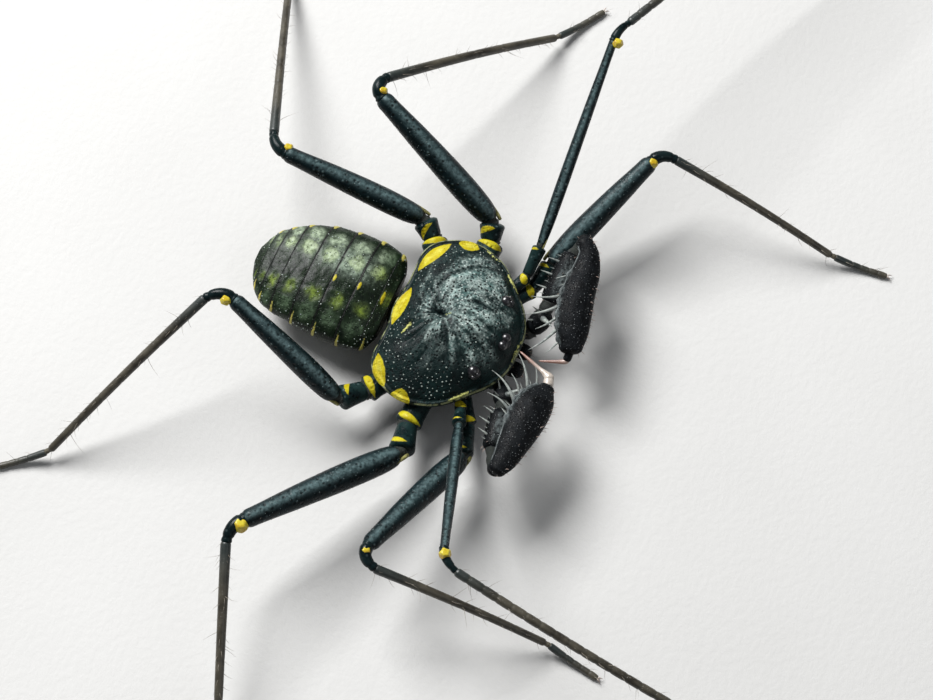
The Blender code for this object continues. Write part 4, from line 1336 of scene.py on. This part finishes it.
for side, sign in SIDES.items():
    bearing = []
    start, end = (at(f, sign * l, u) for f, l, u in PALP_TROCHANTER)

    def piece(part, form, finish, node, slot="palp"):
        """A piece of this pedipalp, in the place of one of its solids."""
        dress(f"palp_{side}_{part}", form, finish, slot, f"pedipalp_{side}_{node}")

    body = limb(start, end, 1.6, ((0, 0.8), (0.5, 1), (1, 0.85)))
    paint(body, "ridge", 0.0)
    piece("trochanter", body, PALP_SKIN, "trochanter")
    spurs = [
        thorn(at(6.75, sign * 3.3, 3.9), at(7.75, sign * 2.65, 4.75), 0.4, 0.1),
        thorn(at(6.2, sign * 3.1, 3.4), at(5.75, sign * 2.6, 4.3), 0.2, 0.05),
        thorn(at(6.35, sign * 3.7, 3.8), at(5.75, sign * 3.6, 4.7), 0.2, 0.05),
    ]
    piece("spurs", joined(spurs), SPINE_FINISH, "trochanter")
    coxa = at(*COXA_ENDS[("palp", side)][0])
    fold(coxa.lerp(start, -0.3), coxa.lerp(start, 1.4), 1.25, f"palp_{side}_coxa_fold",
         DARK_FOLD, "palp")

    root, knee = at(*PALP_FEMUR_START[side]), at(*PALP_KNEE[side])
    fold(end.lerp(start, 0.35), root.lerp(knee, 0.09), 1.15, f"palp_{side}_hip_fold",
         DARK_FOLD, "palp")
    body = limb(root, knee, 1.65, ((0, 0.8), (0.3, 1.0), (0.75, 0.95), (1, 0.8)), deep=0.95,
                short=(0.15, 0), steps=48)
    # Painted highlight: a pale band along the top of the femur
    paint(body, "ridge", lambda p, v, top, side, **_: bell(top - 0.85, 0.2)
          * max(0.0, math.sin(math.pi * v)) if side * sign > -0.3 else 0.0)
    paint(body, "thick_set", 0.12)
    bearing.append(body)
    piece("femur", body, PALP_SKIN, "femur")
    thorns = []
    for t, length in FEMUR_SPINES:
        base = root.lerp(knee, t)
        thorns.append(thorn(base, base + at(-0.75 - length, -0.2 * sign, 0.75), 0.26, 0.12))
    for t in (0.16, 0.38, 0.62, 0.86):
        base = root.lerp(knee, t)
        thorns.append(thorn(base, base + at(-0.95, -0.15 * sign, 0.45), 0.16, 0.08))
    piece("femur_spines", joined(thorns), SPINE_FINISH, "femur")

    blade, path, keel = palp_blade(side)
    bearing.append(blade)
    piece("tibia", blade, PALP_SKIN, "tibia")
    piece("keel", keel, KEEL_FINISH, "tibia")
    lobe = limb(path[CAP_RINGS], at(*KNEE_LOBE[side]), 1.15, ((0, 1), (0.5, 1), (1, 0.9)), steps=14)
    paint(lobe, "ridge", 0.0)
    piece("knee", lobe, PALP_SKIN, "tibia")
    fold(knee.lerp(root, 0.08), at(*KNEE_LOBE[side]), 1.0, f"palp_{side}_knee_fold",
         DARK_FOLD, "palp")
    thorns = []
    pairs = [(at(*place), at(*tip)) for place, tip in TIBIA_SPINES[side]]
    for place, tip in pairs:
        root = place + (place - tip).normalized() * SUNK
        length = (tip - place).length
        outward = (path[-1] - path[0]).normalized() * 0.11 * length
        thorns.append(thorn(root, tip, 0.14 + 0.04 * length, 0.22, base=2.3, sweep=outward))
    for (place, tip), (next_place, _) in zip(pairs, pairs[1:]):
        middle, aim = place.lerp(next_place, 0.5), (tip - place).normalized()
        root = middle - aim * 0.45
        thorns.append(thorn(root, middle + aim * 0.5 + at(0, 0, 0.1), 0.13, 0.05))
    for t, length in UNDER_SPINES:
        base = path[CAP_RINGS + round(t * (len(path) - 2 * CAP_RINGS))]
        tip = base + at(-length * 0.5, -0.3 * sign, -0.75 - length * 0.7)
        thorns.append(thorn(base, tip, 0.26, 0.0))
    piece("tibia_spines", joined(thorns), SPINE_FINISH, "tibia")

    rows = PALP_CLAW[side]
    foot = limb(path[-1].lerp(path[-8], 0.4), at(*rows[1][:3]), FOOT_THICK[side],
                ((0, 1.0), (0.5, 1.0), (1, 0.95)), steps=16)
    paint(foot, "v", 0.1)
    paint(foot, "ridge", 0.0)
    piece("foot", foot, FOOT_FINISH[side], "claw", "claw")
    path, halves = course(rows, 40)
    halves = [0.3 * halves[0], 0.75 * halves[0]] + halves[2:-1] + [0.03]
    halves = [half * CLAW_SHARE[side] for half in halves]
    claw = tube(path, halves, halves, 20)
    paint(claw, "v", lambda p, v, **_: v + CLAW_TINT[side])
    piece("claw", claw, CLAW_FINISH, "claw", "claw")
    bearing = shelves(bearing)
    grow(f"palp_{side}_hairs", bearing, bristle(0.15, 0.16), PALP_HAIR, "palp",
         Per_Square_Millimetre=8.0, Apart=0.27, Smallest=0.2, Largest=0.42, Lean=0.4, Seed=31)
    paint(bearing, "thick_set", 1.0)
    grow(f"palp_{side}_granules", bearing, dome(6, 2), PALP_GRANULE, "palp",
         Per_Square_Millimetre=13.0, Apart=0.17, Smallest=0.016, Largest=0.046, Lean=0.0, Seed=32)

# THE LEGS
# Three pairs that stand and one pair of feelers. Each is a short trochanter, a stout
# femur with pits and granules, a small bent patella, and a thin grey-brown shank and foot.

# Sizes by pair, and how far the yellow leaf of the hip dips toward the body
FEMUR_THICK = {"1": 0.9, "2": 1.85, "3": 1.95, "4": 1.75}
TROCHANTER_THICK = {"1": 1.0, "2": 1.35, "3": 1.85, "4": 1.8}
PATELLA_THICK = {"1": 0.68, "2": 0.95, "3": 1.05, "4": 0.95}
LEAF_DIP = {"1": 0.3, "2": 0.3, "3": 0.35, "4": 0.65}
TIBIA_LENGTH = {"2": 14.6, "3": 17.4, "4": 17.1}
TIBIA_THICK = {"2": 0.72, "3": 0.78, "4": 0.75}
TARSUS_LENGTH = {"2": 4.2, "3": 4.4, "4": 4.5}
# Heights of the ankle and of the middle line of the foot's end
ANKLE_UP, SOLE_UP = 0.9, 0.19
# Where the femur starts, the knee, where the patella ends, the shank's heading and the
# foot's turn from it. Pair 1 is the feelers.
POSES = {
    ("1", "left"): ((4.3, 8.48, 4.1), (3.58, 23.65, 10.5), (3.95, 25.0, 10.35), 68, -34),
    ("1", "right"): ((4.51, -6.9, 4.1), (8.77, -18.9, 14.0), (9.75, -19.8, 13.85), -8, 14),
    ("2", "left"): ((5.4, 8.0, 2.8), (9.6, 17.59, 6.4), (10.75, 18.2, 6.25), -1, 7),
    ("2", "right"): ((5.62, -8.6, 2.9), (2.66, -19.06, 7.2), (3.5, -20.1, 7.0), 6.6, -16),
    ("3", "left"): ((0.11, 9.23, 3.3), (-10.83, 12.78, 9.4), (-10.95, 14.1, 9.3), 54, 5),
    ("3", "right"): ((1.42, -10.35, 3.3), (-6.37, -20.76, 6.6), (-6.85, -22.1, 6.4), -68.5, -6),
    ("4", "left"): ((-4.69, 7.27, 3.3), (-15.97, 6.53, 7.0), (-17.05, 7.5, 6.8), 112, -6),
    ("4", "right"): ((-4.54, -8.41, 3.3), (-14.04, -6.06, 8.6), (-15.55, -6.5, 8.4), -118, -24),
}
# Shares of the thickness along each segment
FEMUR_SHAPE = ((0, 0.7), (0.1, 0.92), (0.3, 1.0), (0.65, 0.88), (0.9, 0.72), (1, 0.7))
SHANK_SHAPE = ((0, 1.0), (0.5, 0.85), (1, 0.78))
FOOT_SHAPE = ((0, 0.2), (0.04, 0.27), (0.35, 0.26), (0.65, 0.25), (0.9, 0.26), (1, 0.2))
FOOT_STEPS = 60
# Where the grooves of the shank and foot lie along them, as shares of their lengths
SHANK_MARKS = {"2": (0.5, 0.66, 0.8), "3": (0.5, 0.66, 0.8), "4": (0.3, 0.42, 0.54, 0.66, 0.8)}
FOOT_MARKS = (0.34, 0.5, 0.66, 0.82)
# Places of the yellow knee pads (forward, left, up) with their half widths
KNEE_PADS = {
    ("1", "left"): ((4.0, 23.22, 10.7), 0.42),
    ("1", "right"): ((8.93, -19.09, 14.2), 0.46),
    ("2", "left"): ((9.63, 17.09, 6.6), 0.42),
    ("2", "right"): ((2.84, -19.25, 7.4), 0.4),
    ("3", "left"): ((-10.56, 13.01, 9.6), 0.4),
    ("3", "right"): ((-6.25, -20.97, 6.8), 0.62),
    ("4", "left"): ((-15.56, 6.92, 7.2), 0.42),
    ("4", "right"): ((-14.16, -6.5, 8.8), 0.42),
}

FEMUR_SKIN = leg_skin("femur skin", (0.0012, 0.005, 0.006), (0.004, 0.013, 0.016), 0.31)
PATELLA_SKIN = leg_skin("patella skin", (0.002, 0.006, 0.007), (0.007, 0.016, 0.017), 0.26,
                        pitted=0.35, relief=0.02)
YELLOW_PAD = plain_finish("yellow pad", (0.50, 0.31, 0.007), (0.66, 0.58, 0.045), 0.3,
                          size=0.7, coat=0.2)
OLIVE_FOLD = plain_finish("olive fold", (0.12, 0.11, 0.03), (0.40, 0.37, 0.12), 0.45,
                          size=0.35, depth=0.03)
BROWN_FOLD = plain_finish("brown fold", (0.05, 0.045, 0.03), (0.12, 0.105, 0.07), 0.5,
                          size=0.3, depth=0.02)

look = Look("shank skin", 0.38, coat=0.1)
cloud, streak = look.mottled(1.6, 4.0), look.dots(0.2, 0.3)
look.colour = blend(cloud, (0.023, 0.019, 0.013), (0.074, 0.065, 0.045))
look.lay(between(look.field("from_start"), 4.5, 0.2) * 0.8, (0.012, 0.022, 0.023))
look.lay(streak * 0.35, (0.030, 0.028, 0.022))
look.lay(between(look.field("ring"), 0.3, 1.0) * 0.6, (0.035, 0.032, 0.022))
SHANK_SKIN = look.done(cloud * 0.4 - streak, 0.02, cloud, 0.36, 0.52)

# The ways that the flats of a knee pad face, and how sharply they meet
CREASED = 14
FACETS = [
    toward(turn + 20, pitch) for pitch, turns in ((72, (30,)), (26, (0, 75, 150, 220, 290)),
                                                  (-26, (36, 110, 180, 255, 320)), (-80, (0,)))
    for turn in turns
]


def room(before, after, thick):
    """How far short of a joint two segments stop, by how sharply they meet there."""
    return GAP / 2 + 0.22 * thick * math.sin(before.angle(after))


def ringed(marks, wide=0.1, deep=0.06):
    """Relief with a fine groove at each of these shares of the length."""

    def relief(run, length, turn):
        return 1 - deep * sum(bell(run - m * length, wide) for m in marks)

    return relief


def ring_paint(form, marks, wide=0.16):
    """The field that shows the grooves at these shares of the length."""
    paint(form, "ring", lambda p, v, from_start, from_end, **_: sum(
        bell(from_start - m * (from_start + from_end), wide) for m in marks))


def upper_leg(pair, side):
    """Trochanter, femur and patella, and the soft folds between them."""
    name = f"leg{pair}_{side}"
    root, knee, end, shank, _ = POSES[(pair, side)]
    root, knee, end = at(*root), at(*knee), at(*end)
    place, coxa_thick = COXA_ENDS[(pair, side)]
    socket = at(*place)
    hip, thigh, bend = root - socket, knee - root, end - knee
    down = toward(shank, -20)

    thick = TROCHANTER_THICK[pair]
    hip_room = room(hip, thigh, thick)
    body = limb(socket, root, thick, ((0, 0.8), (0.5, 0.93), (0.85, 1.06), (1, 1.08)), steps=36,
                short=(COXA_LIP + 0.02, hip_room * 0.2), blunt=0.2)
    rear_side = -SIDES[side]

    def hip_leaf(point, from_end, top, side, **_):
        """A yellow leaf along the outer end, that dips toward the body on the rear side."""
        t = (math.atan2(rear_side * side, top) + 0.4) / 2.0
        if not 0 < t < 1:
            return -1.0
        middle = thick * (0.2 + LEAF_DIP[pair] * t * t)
        return 0.16 * thick * math.sin(math.pi * t) ** 0.7 - abs(from_end - middle)

    paint(body, "yellow", hip_leaf)
    dress(f"{name}_hip", body, COXA_SKIN, "femur", f"{name}_trochanter")
    hip_way, thigh_way = hip.normalized(), thigh.normalized()
    fold(socket - hip_way * 0.1, socket + hip_way * (COXA_LIP + 0.3),
         min(thick, coxa_thick) * 0.86, f"{name}_coxa_fold", DARK_FOLD, "femur")
    fold(root - hip_way * 0.35, root + thigh_way * (hip_room + 0.3), thick * 0.66,
         f"{name}_hip_fold", DARK_FOLD, "femur")

    thick = FEMUR_THICK[pair]
    # A narrow olive fold of soft skin runs on along the outside of the bend
    outside = (hip_way - thigh_way).normalized() * 0.36 * thick
    tail = limb(root - hip_way * 0.2 + outside * 0.9 + UP * 0.1 * thick,
                root + thigh_way * (0.1 + 0.6 * thick) + outside * 1.18 + UP * 0.1 * thick,
                0.15 * thick, ((0, 0.9), (0.35, 1.0), (1, 0.35)), sides=16, steps=20)
    dress(f"{name}_hip_tail", tail, OLIVE_FOLD, "femur", f"{name}_femur")
    knee_room = room(thigh, bend, thick * 0.75)
    body = limb(root, knee, thick, FEMUR_SHAPE, sides=20 if pair == "1" else 36,
                steps=90, deep=1.12, rise=0.15, short=(hip_room * 0.35, knee_room * 0.7))
    paint(body, "yellow", -1.0)
    # The painted highlight along the top of the thigh
    paint(body, "bloom", lambda p, top, v, **_: 0.8 * max(0.0, top) ** 14)
    paint(body, "thick_set", lambda p, v, top, side, **_: 0.35 + 0.65 * max(0, -top))
    dress(f"{name}_thigh", body, FEMUR_SKIN, "femur", f"{name}_femur")
    granular = body

    knee_thick = PATELLA_THICK[pair]
    top_room = room(bend, down, knee_thick)
    # The kneecap arches over the bend from the end of the thigh into the shank
    start, far = knee - thigh_way * (knee_room + 0.2), end + down * (top_room + 0.25)
    outer = (thigh_way - down).normalized()
    crown = knee.lerp(end, 0.45) + outer * 0.12
    control = crown * 2 - (start + far) / 2
    path, halves = [], []
    for t in evenly(40):
        path.append(start * (1 - t) ** 2 + control * 2 * t * (1 - t) + far * t * t)
        swell = 1 - 0.14 * (bell(t - 0.14, 0.04) + bell(t - 0.82, 0.04))
        halves.append(knee_thick / 2 * (1.12 - 0.4 * t) * swell)
    eased(halves, (0.3, 0.65, 0.88))
    body = tube(path, halves, halves, 28)
    paint(body, "yellow", -1.0)
    dress(f"{name}_knee", body, PATELLA_SKIN, "femur", f"{name}_patella")
    # The soft yellow pad bulges in the crook of the knee, creased into a few flat facets
    pad, half = KNEE_PADS[(pair, side)]
    pad = at(*pad) - UP * 0.3 * half
    form = ball(pad, (1, 1, 1), thigh_way + UP * 0.4, sides=40, rings=26)
    for i, point in enumerate(form["points"]):
        away = (point - pad).normalized()
        flats = sum(max(0.0, away.dot(facet)) ** CREASED for facet in FACETS) ** (1 / CREASED)
        form["points"][i] = pad + away * half * 0.86 / flats * (1 + 0.1 * rough(point, 0.8, 6.0))
    dress(f"{name}_knee_pad", form, YELLOW_PAD, "femur", f"{name}_femur")
    return end, top_room, granular


def claws(tip, heading, name):
    """The pair of small hooked claws at the end of a foot."""
    hooks = []
    for turn in (-24, 24):
        root = tip - toward(heading) * 0.12
        way = toward(heading + turn)
        path, halves = [], []
        for t in evenly(12):
            path.append(root + way * 0.55 * t + UP * (0.16 * math.sin(math.pi * t) - 0.1 * t))
            halves.append(0.065 * max(0.12, 1 - t**1.4))
        hooks.append(tube(path, halves, halves, 8))
    hooks = joined(hooks)
    for point in hooks["points"]:
        point.z = max(point.z, 0.005)
    dress(name, hooks, CLAW_FINISH, "shank")


femurs, shanks = [], []
for side in SIDES:
    for pair in ("2", "3", "4"):
        name = f"leg{pair}_{side}"
        top, top_room, granular = upper_leg(pair, side)
        femurs.append(granular)
        *_, shank, turn = POSES[(pair, side)]
        length = TIBIA_LENGTH[pair]
        pitch = -math.degrees(math.asin((top.z - ANKLE_UP) / length))
        ankle = top + toward(shank, pitch) * length
        body = limb(top, ankle, TIBIA_THICK[pair], SHANK_SHAPE, sides=20, steps=150,
                    rise=0.35, short=(top_room, GAP / 2), relief=ringed(SHANK_MARKS[pair]))
        ring_paint(body, SHANK_MARKS[pair])
        paint(body, "thick_set", 1.0)
        dress(f"{name}_shank", body, SHANK_SKIN, "shank", f"{name}_tibia")
        shanks.append(body)

        length = TARSUS_LENGTH[pair]
        start = ankle + toward(shank + turn) * GAP / 2
        path, halves = [], []
        for t in evenly(FOOT_STEPS):
            spot = start + toward(shank + turn) * length * t
            spot.z = SOLE_UP + (ANKLE_UP - SOLE_UP) * (1 - t) ** 2.4
            path.append(spot)
            halves.append(through(FOOT_SHAPE, t) * (1 if 0 < t < 1 else 0.5))
        foot = tube(path, halves, halves, 18, relief=ringed(FOOT_MARKS, 0.07, 0.13))
        for point in foot["points"]:
            point.z = max(point.z, 0)
        ring_paint(foot, FOOT_MARKS, 0.07)
        paint(foot, "thick_set", lambda p, top, **_: max(0.0, top + 0.3))
        dress(f"{name}_foot", foot, SHANK_SKIN, "shank", f"{name}_tarsus")
        shanks.append(foot)
        fold(ankle - toward(shank, pitch) * 0.3, start + toward(shank + turn) * 0.15, 0.42,
             f"{name}_ankle_fold", BROWN_FOLD, "shank")
        claws(path[-1], shank + turn, f"{name}_claws")

# THE FEELERS
# The first pair of legs, drawn out into whips of many short rings that reach over the
# floor. The rings are hard skin with a narrow soft seam between each.

# Lengths of the whip's two parts, the height of its tip, and the steps of each part
WHIP_TIBIA, WHIP_TARSUS, WHIP_TIP_UP, WHIP_STEPS = 26.0, 30.0, 1.6, 260


def trail(start, length, headings, pitches, steps):
    """A path that sets out at the first heading and pitch and swings to the second."""
    path = [start]
    for i in range(steps):
        t = (i + 0.5) / steps
        heading = headings[0] + (headings[1] - headings[0]) * t
        pitch = pitches[0] + (pitches[1] - pitches[0]) * t
        path.append(path[-1] + toward(heading, pitch) * length / steps)
    return path


def beaded(apart):
    """Relief of rings this far apart, each swelling a little between narrow seams."""

    def relief(run, length, turn):
        t = run / apart % 1
        return 1.03 - 0.12 * bell(min(t, 1 - t), 0.09)

    return relief


for side in SIDES:
    top, top_room, granular = upper_leg("1", side)
    femurs.append(granular)
    *_, heading, turn = POSES[("1", side)]
    pitch = -math.degrees(math.asin((top.z - WHIP_TIP_UP) / (WHIP_TIBIA + WHIP_TARSUS)))
    middle = heading + turn * 0.4
    parts = (
        ("tibia", WHIP_TIBIA, (heading, middle), (pitch * 0.7, pitch), 0.64, 0.56, 1.15),
        ("tarsus", WHIP_TARSUS, (middle, heading + turn), (pitch, pitch * 1.25), 0.56, 0.46, 0.8),
    )
    spot = top + toward(heading, pitch) * top_room
    for part, length, headings, pitches, thick, end_thick, apart in parts:
        path = trail(spot, length - GAP, headings, pitches, WHIP_STEPS)
        halves = [(thick + (end_thick - thick) * t) / 2 for t in evenly(WHIP_STEPS)]
        eased(halves, (0.3, 0.7, 0.92))
        whip = tube(path, halves, halves, 14, relief=beaded(apart))
        paint(whip, "ring", lambda p, from_start, **_: bell(
            min(from_start / apart % 1, 1 - from_start / apart % 1), 0.1))
        paint(whip, "thick_set", 0.8)
        dress(f"leg1_{side}_whip_{part}", whip, SHANK_SKIN, "shank", f"leg1_{side}_{part}")
        shanks.append(whip)
        spot = path[-1] + toward(headings[1], pitches[1]) * GAP
        if part == "tibia":
            fold(path[-6], spot + toward(headings[1], pitches[1]) * 0.5, end_thick * 0.8,
                 f"leg1_{side}_whip_fold", BROWN_FOLD, "shank")

# THE HAIRS OF THE LEGS
# Fine bristles that stand out from the shanks and feet, with a few long ones, and short
# hairs and small hard granules along the thighs.

LEG_HAIR = plain_finish("leg hair", (0.16, 0.13, 0.10), (0.36, 0.32, 0.26))
GRANULE_FINISH = plain_finish("granule", (0.03, 0.055, 0.06), (0.19, 0.25, 0.25), 0.42)
shank_skin = shelves(shanks)
grow("shank_bristles", shank_skin, bristle(0.3, 0.045), LEG_HAIR, "shank",
     Per_Square_Millimetre=2.0, Apart=0.35, Smallest=0.35, Largest=0.9, Lean=0.9, Seed=12)
grow("shank_long_hairs", shank_skin, bristle(0.2, 0.022), LEG_HAIR, "shank",
     Per_Square_Millimetre=0.22, Apart=1.1, Smallest=1.1, Largest=1.9, Lean=0.35, Seed=13)
femur_skin = shelves(femurs)
grow("thigh_granules", femur_skin, dome(6, 2), GRANULE_FINISH, "femur",
     Per_Square_Millimetre=13.0, Apart=0.18, Smallest=0.016, Largest=0.044, Lean=0.0, Seed=14)
grow("thigh_hairs", femur_skin, bristle(0.3, 0.06), LEG_HAIR, "femur",
     Per_Square_Millimetre=1.1, Apart=0.45, Smallest=0.12, Largest=0.26, Lean=1.1, Seed=15)

# THE SETTING
# A plain pale floor, soft studio light from the animal's left and rear, and a camera
# that looks down on it from the photograph's side.

# Half the floor's side, in metres
FLOOR = 1.2
floor_mesh = bpy.data.meshes.new("floor")
corners = ((-1, -1), (1, -1), (1, 1), (-1, 1))
floor_mesh.from_pydata([(x * FLOOR, y * FLOOR, 0) for x, y in corners], [], [(0, 1, 2, 3)])
look = Look("pale floor", 0.75)
look.colour = blend(look.mottled(40.0), (0.62, 0.615, 0.60), (0.66, 0.655, 0.64))
floor_mesh.materials.append(look.done(look.mottled(0.6), 0.01))
placed("floor", floor_mesh)

# Across the picture and down it, what the lamps face, and the camera's place and way
ACROSS_VIEW, DOWN_VIEW = toward(24), toward(114)
AIM = PIT + at(0, 0, 4.0) * MM
CAMERA_AT, CAMERA_WAY = at(36.0, -76.27, 217.8), toward(114, -69)


def lamp(name, way, away, size, power, tint=(1, 1, 1)):
    """A square soft box this far from the animal, that faces it."""
    light = bpy.data.lights.new(name, "AREA")
    light.size = size
    light.energy = power
    light.color = tint
    made = placed(name, light)
    made.location = AIM + way.normalized() * away
    face(made, -way)


def face(made, way):
    """Turns a lamp or camera to look this way."""
    made.rotation_mode = "QUATERNION"
    made.rotation_quaternion = way.to_track_quat("-Z", "Y")


lamp("key", DOWN_VIEW * 0.75 - ACROSS_VIEW * 0.55 + UP * 1.0, 0.45, 0.22, 3.5)
lamp("fill", ACROSS_VIEW * 0.9 - DOWN_VIEW * 0.5 + UP * 0.9, 0.6, 0.4, 0.4, (0.94, 0.97, 1.0))
world = bpy.data.worlds.new("studio")
world.use_nodes = True
sky = world.node_tree.nodes["Background"].inputs
sky["Color"].default_value = (0.92, 0.95, 1.0, 1)
sky["Strength"].default_value = 0.14
bpy.context.scene.world = world

lens = bpy.data.cameras.new("camera")
lens.lens = 120
lens.sensor_width = 36
lens.clip_start = 0.01
camera = placed("camera", lens)
camera.location = PIT + CAMERA_AT * MM
face(camera, CAMERA_WAY)
bpy.context.scene.camera = camera
bpy.context.scene.view_settings.view_transform = "Standard"
